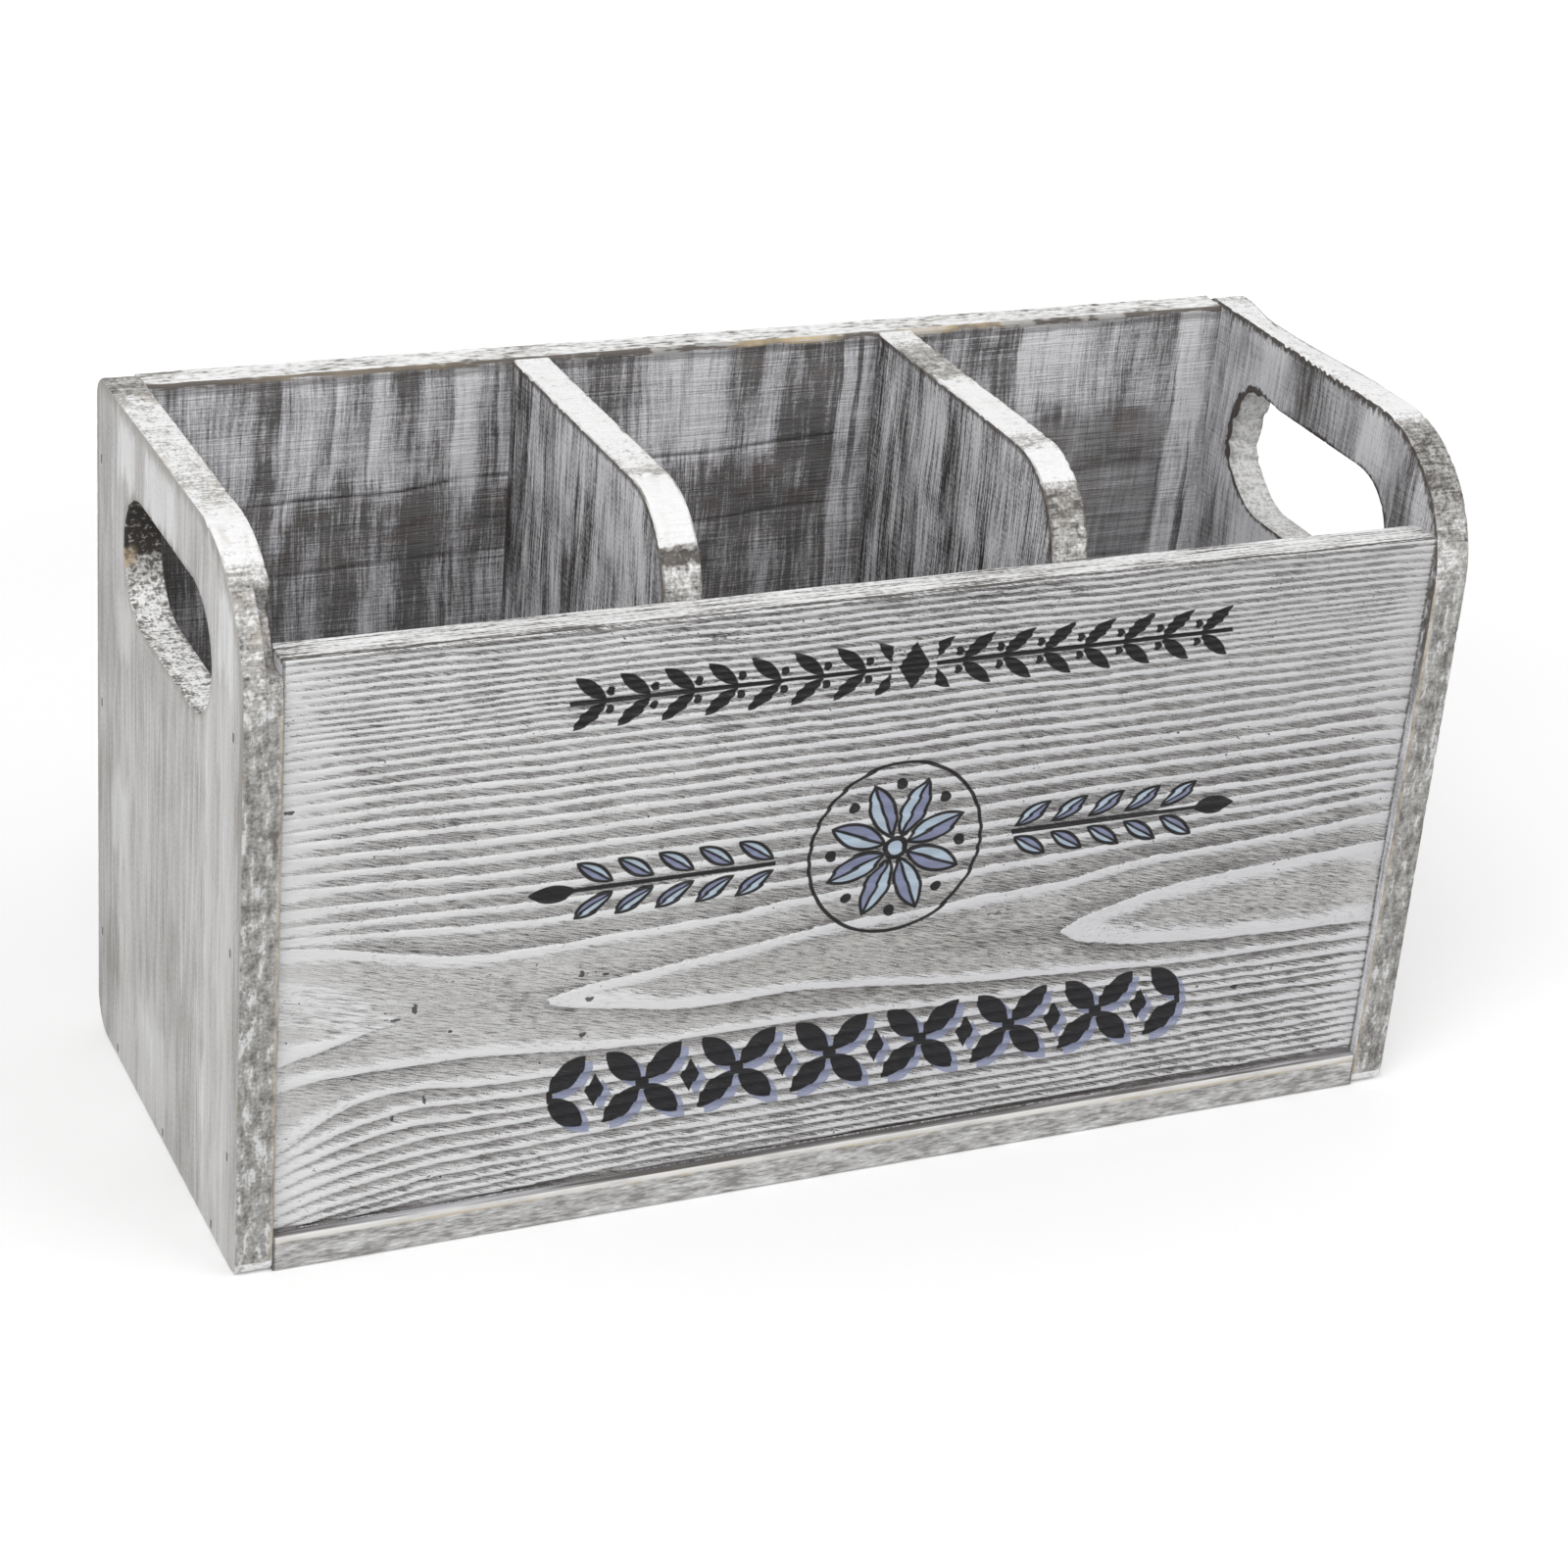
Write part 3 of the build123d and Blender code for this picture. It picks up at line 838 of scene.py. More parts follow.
def panelWood(name, look, seed):
    # upright strokes on the faces, the sawn edge painted along its length, stain along the arrises
    book = Book(name)
    rim, mouth, path = (book.layer(key) for key in ("rim", "mouth", "path"))
    y, z = book.y, book.z
    forward = -y + backFace
    thread = book.noise(y, z, (0.42, 16.0), seed + 9, 3.0)
    ragged = book.noise(y, z, (1.3, 3.2), seed + 11, 3.0)
    # the dark inside faces, darker still under their top edges
    cover, bristle = dryBrush(book, forward, z, look["inside"], seed)
    face = stained(book, cover, forward, z, seed + 6, look["deep"])
    width = look["shadeWidth"]
    under = (rim + ragged * width * look["shadeRough"]).over(width, width * 0.35)
    face = book.mix(face, tint(80, 74, 68), under * z.over(100, 135) * look["shade"])
    if look["outside"]:
        # scorched around the hand hole, and washed outside
        cloud = book.noise(y, z, (26, 34), seed + 10, 2.0)
        burr = forward.over(34, 14)
        around = mouth + ragged * (burr * 0.5 + 0.4) + cloud * 0.6
        around = around - burr * z.over(138, 146) * 1.6 - burr * 0.5
        face = book.mix(face, tint(72, 66, 60), around.over(1.7, 0.5) * look["mouthShade"])
        outer = outsideWash(book, look, forward, rim, mouth, cloud, thread, seed)
        face = book.mix(face, outer, abs(book.x).over(155.0, 155.6))
    cross = book.noise3((7.0, 0.75, 0.75), seed + 12, 3.0)
    blot = book.noise3((3.0, 3.6, 3.6), seed + 13, 2.0)
    speck = book.noise3((0.8, 0.8, 0.8), seed + 14, 2.0)
    rough = book.noise3((1.5, 2.2, 2.2), seed + 20, 3.0)
    noises = (cross, blot, speck, rough)
    face = book.mix(face, sawnEdge(book, look, path, noises, seed), rim.over(0.35, -0.1))
    if look["outside"]:
        face = book.mix(face, holeWall(book, look, mouth, noises), mouth.over(0.25, -0.15))
    # stain left in the arrises, or bare wood
    worn = rim.band(-0.6, 0.4, 0.25) * (book.noise3((30, 8, 8), seed + 17, 2.0) * 0.7 + look["worn"])
    face = book.mix(face, look["arris"], worn.clamp() * 0.8)
    height = thread * 0.3 + bristle * 0.15 + (cross * 0.6 + speck * 0.5) * rim.over(0.5, -0.2)
    return book.finish(face, look["roughness"], height, 0.13)


# Paint along each inside face: distance forward of the back board and how much of it is white, above
# and below the turn
plainBay = ((0, 0.4), (30, 0.5), (60, 0.35), (116, 0.5))
leftDividerStrokes = (
    ((0, 0.1), (10, 0.15), (12.5, 0.2), (13.5, 0.8), (17, 0.65), (22, 0.5), (29, 0.45), (31, 0.25),
     (33, 0.85), (39, 0.8), (41, 0.5), (43, 0.75), (50, 0.8), (52.5, 0.35), (57, 0.3), (59, 0.5),
     (62, 0.9), (69, 0.8), (72, 0.6), (75, 0.75), (80, 0.95), (88, 0.9), (91, 0.55), (97, 0.4),
     (104, 0.4)),
    ((0, 0.1), (12, 0.2), (14, 0.55), (18, 0.45), (24, 0.35), (30, 0.2), (33, 0.55), (38, 0.5),
     (42, 0.15), (55, 0.15), (59, 0.45), (66, 0.55), (72, 0.4), (78, 0.7), (88, 0.65), (104, 0.4)),
)
rightDividerStrokes = (
    ((0, 0.15), (6, 0.2), (8, 0.6), (12, 0.55), (14, 0.3), (17, 0.5), (22, 0.35), (30, 0.65), (34, 0.9),
     (42, 0.95), (44, 0.45), (47, 0.2), (52, 0.2), (54, 0.95), (55.5, 0.5), (58, 0.75), (62, 0.7),
     (65, 0.3), (70, 0.2), (72, 0.85), (75, 0.8), (78, 0.45), (84, 0.65), (90, 0.55), (97, 0.35),
     (104, 0.35)),
    ((0, 0.1), (8, 0.35), (12, 0.35), (15, 0.2), (20, 0.3), (26, 0.35), (35, 0.5), (42, 0.3),
     (50, 0.15), (54, 0.45), (60, 0.35), (68, 0.2), (73, 0.65), (80, 0.75), (86, 0.45), (104, 0.4)),
)
rightEndStrokes = (
    ((0, 0.8), (4, 0.5), (8, 0.65), (12, 0.6), (18, 0.8), (24, 0.95), (34, 0.95), (37, 0.55),
     (47, 0.15), (52, 0.45), (60, 0.6), (66, 0.45), (73, 0.6), (75, 1.05), (81, 1.0), (84, 0.7),
     (88, 0.7), (91, 0.45), (98, 0.2), (101, 0.6), (108, 0.75), (116, 0.6)),
    ((0, 0.6), (6, 0.4), (10, 0.3), (16, 0.6), (24, 0.95), (45, 1.0), (60, 0.75), (80, 0.6), (90, 0.5),
     (116, 0.6)),
)
# how strongly the strokes vary, their reach, and the weight of single bristles, specks and the grain
endBrush = {"force": 0.95, "reach": 1.4, "bristle": 0.22, "speck": 0.12, "grain": 0.1}
dividerBrush = {"force": 1.5, "reach": 3.0, "bristle": 0.36, "speck": 0.16, "grain": 0.07}
# an end or a divider: what lies on its faces and its edge. A piece with no outside has no hand hole
leftEndCoat = {
    "inside": {"turn": (140, 165), "bays": ((plainBay, plainBay),), **endBrush},
    # distance forward of the back board and how white the wash is
    "outside": ((-9, 0.3), (-3, 0.4), (5.5, 0.42), (6.5, 0.75), (7.5, 0.42), (12, 0.6), (20, 0.65),
                (27, 0.5), (50, 0.45), (67.5, 0.48), (69, 0.72), (70.5, 0.48), (81, 0.5), (82, 0.7),
                (83, 0.5), (87, 0.55), (89, 0.95), (91, 0.75), (94, 0.6), (98.5, 0.65), (99.5, 0.95),
                (101, 0.65), (104, 0.85), (108, 0.65), (112, 0.45), (117, 0.35)),
    # whiter patches: from and to forward, bottom, top, amount
    "outsidePatches": ((12, 26, 163, 178, 0.6), (36, 61, 164, 179, 0.65), (95, 108, 150, 170, 0.5),
                       (10, 22, 118, 132, 0.3), (8, 20, 60, 82, 0.3), (30, 55, 0, 30, 0.25),
                       (0, 12, 20, 60, -0.2)),
    "edge": 0.8,              # how white the sawn edge is, and more or less of it along its path
    "edgeBands": ((-20, 12, 8, -0.7), (60, 80, 6, -0.2), (84, 103, 4, 0.35), (106, 124, 6, -0.5),
                  (124, 140, 5, -0.5)),
    "deep": 0.5,              # how dark the barest stain is
    "shade": 0.8,             # the brown line under the top edge, its width and unevenness
    "shadeWidth": 2.0,
    "shadeRough": 0.5,
    "mouthShade": 0.5,        # the brown round the hand hole
    "holeDark": tint(116, 112, 108),
    "holeLight": tint(240, 240, 239),
    "burnt": True,
    "worn": -0.1,
    "arris": tint(150, 138, 122),
    "warmth": 0.75,
    "roughness": 0.6,
}
rightEndCoat = {
    **leftEndCoat,
    "inside": {"turn": (130, 150), "bays": (rightEndStrokes,), **endBrush},
    "edge": 1.0,
    "edgeBands": ((-20, 4, 5, -0.5), (92, 126, 6, -0.95), (126, 150, 4, -0.5)),
    "holeDark": tint(168, 166, 162),
    "holeLight": tint(216, 216, 216),
    "burnt": False,
    "shade": 0.95,
    "shadeWidth": 3.2,
    "shadeRough": 0.35,
    "mouthShade": 0.95,
    "warmth": 0.15,
}
leftDividerCoat = {
    "inside": {"turn": (138, 166), "bays": (leftDividerStrokes,), **dividerBrush},
    "outside": None,
    "edge": 0.85,
    "edgeBands": ((0, 60, 8, 0.3), (74, 79, 1.5, -0.35), (80, 101, 2, 0.6), (102.5, 107, 1.2, -1.2),
                  (108, 125, 2, -0.45)),
    "deep": 1.0,
    "shade": 0.85,
    "shadeWidth": 2.4,
    "shadeRough": 0.15,
    "worn": 0.35,
    "arris": tint(96, 86, 76),
    "warmth": 0.25,
    "roughness": 0.5,
}
rightDividerCoat = {
    **leftDividerCoat,
    "inside": {"turn": (136, 164), "bays": (rightDividerStrokes,), **dividerBrush},
    "edgeBands": ((10, 34, 6, -0.7), (36, 72, 5, 0.35), (75, 82, 2, -0.35), (84, 94, 2, 0.75),
                  (96, 109, 4, -0.9), (110, 125, 2, -0.4)),
}


# width, length and weight of the patches, streaks and bristles on the front board's rear
frontRearStrokes = {
    "level": 0.35, "patch": (12.0, 60.0, 0.25), "streak": (1.9, 70.0, 0.25), "bristle": (0.5, 14.0, 0.25),
}


def frontGrain(book, across, up):
    # white on the hard ring ends, and a hatched grey in the hollows between them, with painted shade next
    # to each raised ring and over the right half. Besides the colour it gives the hatch, the fine level
    # streaks and the patches
    look = frontLook
    x, z = book.x, book.z
    ring, width = book.layer("ring"), book.layer("width")
    run, rise = x - z * look["slant"], z + x * look["slant"]
    hatch = book.noise(run, rise, (4.6, 0.22), 3, 3.0)
    grit = book.noise(run, rise, (0.5, 0.2), 13, 2.0)
    coarse = book.noise(run, rise, (12.0, 0.8), 4, 2.0)
    level = book.noise(x, z, (14.0, 0.45), 9, 2.0)
    patch = book.noise(x, z, (24, 10), 5, 2.0)
    place = ring + (level * 0.12 + hatch * 0.06) / width
    past = (place - place.math("FLOOR")) * width
    narrow, wide, least = look["crest"]
    crest = (width * narrow).math("MINIMUM", width * wide + least)
    ends = x.over(-128, -150) * 0.7 + x.over(134, 150) * 0.5
    dashes = (hatch + grit * 0.3).over(0.15, -0.6)
    # the left tip is scrubbed down above its middle, and the right half is painted greyer, a painted shade
    # of the light falling off to the right
    rubbed = (across + up * 0.8 + coarse * 2).over(87, 78)
    rubbed = rubbed * (up + across * 0.25 + hatch * 1.5).band(55.5, 71, 2.5)
    rightPaintedShade = x.over(-70, 10)
    dull = x.over(20, 130) * z.over(95, 130)
    cover = (crest - width + past) / crest * 0.85
    cover = cover + hatch * 0.2 + grit * 0.1 + coarse * 0.15 + patch * 0.08 + ends + 0.1
    scrubbed = hatch * 0.25 + coarse * 0.35 + across.over(40, 5) * 0.2 - 0.08
    cover = cover * (1 - rubbed * 0.9) + rubbed * scrubbed
    # the hollow is painted darkest just past a ring's sharp edge and lighter further on: painted shade of
    # the raised ring beside it, over the real grey of the brushed hollow
    outOfRingShade = past.over(-0.5, 7.0) * 0.32
    tone = outOfRingShade + (0.22 - outOfRingShade) * rubbed - dashes * 0.48 + hatch * (width.over(4, 9) * 0.07 + 0.06)
    tone = tone + grit * 0.08 + coarse * 0.12 + level * 0.05 + patch * 0.08
    # the hollows are painted darker on the right half: painted shade
    tone = tone + ends * 0.5 - rightPaintedShade * 0.17 + dull * 0.08 + rubbed * 0.1 + 0.63
    hollow = book.mix(tint(84, 82, 81), tint(212, 211, 210), tone.over(-0.1, 1.1))
    bare = across.band(105, 195, 18) * up.band(40, 62, 5) * (coarse * 0.3 + 0.6)
    hollow = book.mix(hollow, tint(154, 148, 139), bare.clamp() * 0.26)
    # the white ring ends are painted greyer on the right half: painted shade
    white = book.mix(tint(231, 231, 232), tint(221, 221, 223), rightPaintedShade)
    face = book.mix(hollow, white, cover.over(-0.15, 0.3))
    face = book.mix(face, tint(196, 195, 194), dull * 0.25)
    return face, hatch, level, patch


def frontMarks(book, face, across, up, level):
    # scratches, nicks and smears of stain
    x, z = book.x, book.z
    scratch = book.noise(x + z * 0.4, z - x * 0.3, (2.4, 0.25), 10, 1.0).over(0.95, 1.25)
    scratch = scratch * book.noise(x, z, (22, 14), 11, 1.0).over(0.1, 0.5)
    face = book.mix(face, tint(84, 82, 82), scratch * 0.6)
    grime = book.noise(x, z, (1.5, 1.0), 6, 2.0)
    nick = grime.over(1.05, 1.25) * book.noise(x, z, (16, 10), 7, 1.0).over(0.3, 0.6)
    for left, low, length, height in frontLook["nicks"]:
        a, b = (across - left) / length, (up - low) / height
        nick = nick + (a * a + b * b + grime * 0.7).over(1.1, 0.7)
    smear = 0.0
    for left, right, low, high in frontLook["smears"]:
        smear = across.band(left, right, 6) * up.band(low, high, 1.2) + smear
    nick = nick + smear * (level * 0.7 + grime * 0.35).over(0.2, 0.75) * 0.8
    return book.mix(face, tint(46, 43, 44), nick.clamp() * 0.88)


def frontWood():
    # grain, marks and the printed ornament on the face, a plain top edge and a stained rear
    book = Book("frontWood")
    x, y, z = book.x, book.y, book.z
    low, high = cornersOf("front_board")
    across, up = x - low[0], z - low[2]
    face, hatch, level, patch = frontGrain(book, across, up)
    face = frontMarks(book, face, across, up, level)
    face = printed(book, face, hatch)
    # shadow lines in the joints, and a dark line under the arris
    joint = abs(x).over(high[0] - 1.0, high[0] - 0.3) * (level * 0.4 + 0.8)
    joint = joint + (z + level * 0.35).over(low[2] + 1.7, low[2] + 0.7)
    joint = joint + z.band(high[2] - 2.0, high[2] - 1.3, 0.3) * (level * 0.5 + 0.35)
    face = book.mix(face, tint(70, 66, 63), joint.clamp() * 0.8)
    # the top edge
    grain = book.noise(x, y + z, (22, 0.55), 8, 3.0)
    specks = book.noise(x, y + z, (1.8, 0.7), 12, 2.0)
    shade = grain * 0.8 + specks * 0.35 + patch * 0.2 + 0.58 - y.over(low[1] + 2.1, low[1] + 1.1) * 0.9
    plain = book.mix(tint(84, 81, 78), tint(200, 199, 198), shade.over(-0.3, 0.5))
    plain = book.mix(plain, tint(234, 234, 234), shade.over(0.4, 1.0))
    # the rear, inside the bays
    rear = stained(book, brushed(book, x, z, frontRearStrokes, 31), x, z, 35)
    rear = book.mix(rear, plain, z.over(high[2] - 1.6, high[2] - 0.9))
    colour = book.mix(rear, face, book.layer("faced").over(0.6, 0.75))
    return book.finish(colour, 0.62, hatch * 0.4 + level * 0.2, 0.14)


# The printed ornament

printLook = {
    "middle": 6.0,
    "garland": {"height": 140.0, "half": 88.0, "period": 11.0},
    "rosette": {"height": 91.0, "radius": 20.0, "petals": 8},
    "sprig": {"height": 91.0, "start": 32.0, "end": 84.0, "period": 10.4},
    "border": {"height": 35.0, "half": 88.0, "period": 25.2, "shadow": (1.9, -1.7)},
}


def lengthOf(a, b):
    # the length of a pair, which is a distance from a point: the root of a^2 + b^2
    return (a * a + b * b).math("SQRT")


def leanOf(a, b, degrees):
    # the pair turned by an angle
    c, s = math.cos(math.radians(degrees)), math.sin(math.radians(degrees))
    return a * c + b * s, b * c - a * s


def leafShape(a, b, half, wide):
    # inside a leaf of that half length and half width: radius - distance from the far arc's centre
    radius = (half * half + wide * wide) / (2 * wide)
    return radius - lengthOf(a, abs(b) + (radius - wide))


def solid(depth):
    # a depth inside a shape in millimetres, made a mask with a soft rim
    return (depth * 5 + 0.5).clamp()


def union(*shapes):
    # all the shapes together: the greatest of their depths
    total = shapes[0]
    for shape in shapes[1:]:
        total = total.math("MAXIMUM", shape)
    return total


def repeat(value, period):
    # the distance from the nearest middle of a cell
    return ((value / period).math("FRACT") - 0.5) * period


def garland(side, z):
    # leaves and berries along a stem, and a gem in the middle
    part = printLook["garland"]
    a, b = repeat(side, part["period"]), z - part["height"]
    turned, across = leanOf(a - 0.4, abs(b) - 3.5, 38)
    leaves = leafShape(turned, across, 5.2, 1.75)
    berry = 1.15 - lengthOf(a + 4.6, abs(b) - 2.4)
    reach = (part["half"] - side).math("MINIMUM", side - 6)
    gem = 1 - (side / 4.2 + abs(b) / 6.4)
    return union(union(leaves, 0.55 - abs(b), berry).math("MINIMUM", reach), gem * 3)


def rosette(t, z):
    # petals with balls between them inside a hoop: the ink, and the petals' lit and shaded halves
    part = printLook["rosette"]
    b = z - part["height"]
    far, turn = lengthOf(t, b), b.math("ARCTAN2", t)
    sector = 2 * math.pi / part["petals"]
    angle, between = repeat(turn, sector), repeat(turn + sector / 2, sector)
    a, c = far * angle.math("COSINE"), far * angle.math("SINE")
    petal = leafShape(a - part["radius"] * 0.56, c, 8.4, 3.7)
    inner = solid(leafShape(a - part["radius"] * 0.56, c, 7.2, 2.75))
    ball = 1.5 - lengthOf(far * between.math("COSINE") - 17.4, far * between.math("SINE"))
    hoop = 0.5 - abs(far - part["radius"] * 1.16)
    ink = union(petal, ball, hoop, 3.4 - far)
    return ink, union(inner * c.over(0.25, 0.6), solid(1.9 - far)), inner * c.over(-0.25, -0.6)


def sprig(side, z):
    # pairs of leaves along a stem with a bud at its end: the ink, and the leaves' lit and shaded halves
    part = printLook["sprig"]
    a, b = repeat(side - part["start"], part["period"]), z - part["height"]
    turned, across = leanOf(a - 0.3, abs(b) - 4.4, 32)
    leaf = leafShape(turned, across, 5.9, 2.3)
    bud = leafShape(side - part["end"] - 5.5, b, 6.2, 2.4)
    reach = (side - part["start"]).math("MINIMUM", part["end"] - side)
    inner = solid(leafShape(turned, across, 4.7, 1.35).math("MINIMUM", reach))
    ink = union(union(leaf, 0.6 - abs(b)).math("MINIMUM", reach), bud)
    return ink, inner * across.over(0.15, 0.5), inner * across.over(-0.15, -0.5)


def border(t, z, aside=0.0, above=0.0):
    # figures of four leaves with drops between them, moved aside and above
    part = printLook["border"]
    p, b = t - aside, z - part["height"] - above
    a = repeat(p, part["period"])
    u, v = (abs(a) + abs(b)) * math.sqrt(0.5), (abs(a) - abs(b)) * math.sqrt(0.5)
    petals = leafShape(u - 7.4, v, 6.6, 3.1)
    drop = 1 - ((part["period"] / 2 - abs(a)) / 2.6 + abs(b) / 4.6)
    return union(petals, drop * 2.2, 1.8 - lengthOf(a, b)).math("MINIMUM", part["half"] - abs(p))


def printed(book, face, hatch):
    # a garland over a rosette between two sprigs, over a border with its shadow
    t, z = book.x - printLook["middle"], book.z
    side = abs(t)
    rosetteInk, rosetteLit, rosetteShaded = rosette(t, z)
    sprigInk, sprigLit, sprigShaded = sprig(side, z)
    ink = solid(union(garland(side, z), rosetteInk, sprigInk, border(t, z)))
    face = book.mix(face, paints["slate"], solid(border(t, z, *printLook["border"]["shadow"])) * 0.85)
    face = book.mix(face, paints["ink"], ink * (hatch * 0.05 + 0.99).clamp())
    face = book.mix(face, paints["slate"], union(rosetteShaded, sprigShaded) * 0.9)
    return book.mix(face, paints["sky"], union(rosetteLit, sprigLit) * 0.95)


# The back, the bottom and the brads

# Paint along the back's inside, bay by bay: distance from the middle and how much of it is white,
# above and below the turn
backStrokes = (
    (((-150, 0.6), (-140, 0.5), (-136, 0.55), (-124, 0.55), (-122.5, 0.15), (-119, 0.15), (-116, 0.7),
      (-112, 0.8), (-107, 0.65), (-104, 0.4), (-102, 0.7), (-100, 0.45), (-94, 0.5), (-92, 0.85),
      (-89, 0.8), (-87, 0.4), (-82, 0.25), (-78, 0.5), (-72, 0.45), (-70, 0.98), (-65, 0.95),
      (-63, 0.4), (-59.5, 0.25), (-58, 0.8), (-56, 0.5), (-51, 0.4)),
     ((-150, 0.2), (-120, 0.25), (-115, 0.2), (-108, 0.35), (-100, 0.15), (-94, 0.25), (-92, 0.5),
      (-86, 0.4), (-84, 0.1), (-78, 0.05), (-72, 0.2), (-70, 0.5), (-66, 0.45), (-63, 0.25), (-58, 0.5),
      (-51, 0.4))),
    (((-50, 0.3), (-45, 0.35), (-43, 0.6), (-37, 0.55), (-33, 0.15), (-28, 0.15), (-24, 0.35),
      (-17, 0.8), (-11, 0.9), (-4, 0.95), (1.5, 0.85), (5, 0.35), (10, 0.2), (14, 0.45), (18, 0.65),
      (20.5, 0.1), (28, 0.02), (36, 0.05), (36.8, 0.95), (40.4, 0.9), (40.8, 0.05), (41.9, 0.05),
      (42.4, 0.9), (44.5, 0.75), (46, 0.3), (51, 0.3)),
     ((-50, 0.1), (-26, 0.15), (-16, 0.4), (-10, 0.3), (0, 0.15), (10, 0.15), (16, 0.3), (22, 0.08),
      (35, 0.1), (36.8, 0.7), (40.4, 0.65), (41, 0.3), (42, 0.35), (42.6, 0.65), (45, 0.55),
      (51, 0.3))),
    (((51, 0.2), (57, 0.2), (61, 0.3), (66, 0.25), (68, 0.55), (70, 0.25), (75, 0.25), (77, 0.6),
      (78.5, 0.3), (80, 0.55), (82, 0.15), (88.5, 0.15), (90, 0.95), (104, 0.95), (111, 0.65),
      (117, 0.45), (130, 0.45), (137, 0.35), (138.8, 0.98), (147, 0.95), (149, 0.6), (151, 0.3)),
     ((51, 0.15), (82, 0.15), (90, 0.4), (100, 0.35), (112, 0.25), (125, 0.3), (137, 0.2),
      (138.8, 0.85), (144.6, 0.8), (144.9, 0.05), (145.7, 0.05), (146, 0.85), (148, 0.7), (151, 0.3))),
)
backBrush = {"force": 1.05, "reach": 1.3, "bristle": 0.2, "speck": 0.12, "grain": 0.13}
# width, length and weight of the patches, streaks and bristles of a plainer coat
backRearStrokes = {
    "level": 0.42, "patch": (16.0, 90.0, 0.2), "streak": (1.6, 60.0, 0.2), "bristle": (0.45, 16.0, 0.2),
}
bottomEdgeStrokes = {
    "level": 0.45, "patch": (3.0, 9.0, 0.28), "streak": (0.9, 5.0, 0.3), "bristle": (0.4, 2.6, 0.24),
}
floorStrokes = {
    "level": 0.3, "patch": (20.0, 60.0, 0.25), "streak": (3.0, 70.0, 0.28), "bristle": (0.6, 24.0, 0.2),
}


def backWood():
    # charcoal stain inside with upright dry strokes over level grain; a light wash on the rear
    book = Book("backWood")
    x, z = book.x, book.z
    faced, crack = book.layer("faced"), book.layer("crack")
    thread = book.noise(x, z, (14.0, 0.55), 55, 3.0)
    lines = book.noise(x, z, (60.0, 1.3), 61, 2.0)
    cover, bristle = dryBrush(book, x, z, {"turn": (140, 156), "bays": backStrokes, **backBrush}, 50)
    # the lower right is wiped along the board instead
    wiped = x.band(87, 137, 3) * z.over(158, 148)
    cover = cover + (lines * 0.12 + thread * 0.08 + 0.3 - cover) * wiped * 0.7
    # the darker belt between the cracks, and hairlines scraped near the top
    belt = (z - x * 0.035 + lines).band(131, 149, 2.0) * (1 - x.over(126, 138))
    hairs = book.noise(x, z - x * 0.02, (70, 0.3), 64, 1.0).over(0.85, 1.2) * z.over(158, 164)
    cover = cover - belt * 0.12 + hairs * 0.35
    inside = stained(book, cover, x, z, 57)
    rusty = belt * book.noise(x, z, (14, 6), 65, 2.0).over(0.1, 0.9)
    inside = book.mix(inside, paints["russet"], rusty * 0.3)
    inside = book.mix(inside, tint(44, 41, 41), crack * 0.8)
    cloud = book.noise(x, z, (12, 12), 66, 3.0)
    tan = x.band(6, 33, 5) + x.band(52, 82, 6) * 0.9 + x.band(-122, -72, 12) * 0.3
    rim = book.mix(tint(98, 92, 86), tint(204, 184, 150), (tan * (cloud * 0.4 + 0.75)).clamp())
    rim = book.mix(rim, tint(196, 195, 193), (cloud + thread * 0.5).over(0.35, 0.9) * 0.7)
    edge = z + thread * 0.35 + cloud * 0.5
    inside = book.mix(inside, rim, edge.over(178.9, 179.7))
    inside = book.mix(inside, tint(74, 70, 67), edge.band(177.3, 179.1, 0.6) * 0.5)
    speck = book.noise(x, book.y + z, (3.2, 1.3), 58, 3.0)
    fine = book.noise(x, book.y, (18, 0.8), 62, 3.0)
    blotch = book.noise(x, book.y, (16, 5), 59, 2.0)
    level = speck * 0.55 + fine * 0.4 + blotch * 0.4 + 0.68
    top = book.mix(tint(104, 101, 96), tint(206, 205, 203), level.over(-0.2, 0.55))
    top = book.mix(top, tint(238, 238, 238), level.over(0.45, 1.15))
    wash = brushed(book, z, x, backRearStrokes, 63) + speck * 0.08
    rear = book.mix(tint(128, 126, 124), paints["wash"], wash.over(-0.3, 0.6))
    rear = book.mix(rear, paints["chalk"], wash.over(0.6, 1.1) * 0.7)
    # the holes of the set brads, painted as shade and bare wood
    rear = book.mix(rear, paints["socket"], bradHoleShade(x, z, bradRows["rear"]) * 0.85)
    outside = book.mix(rear, top, z.over(179.9, 180.4))
    colour = book.mix(outside, inside, faced.over(0.25, 0.5))
    return book.finish(colour, 0.6, thread * 0.4 + bristle * 0.2, 0.12)


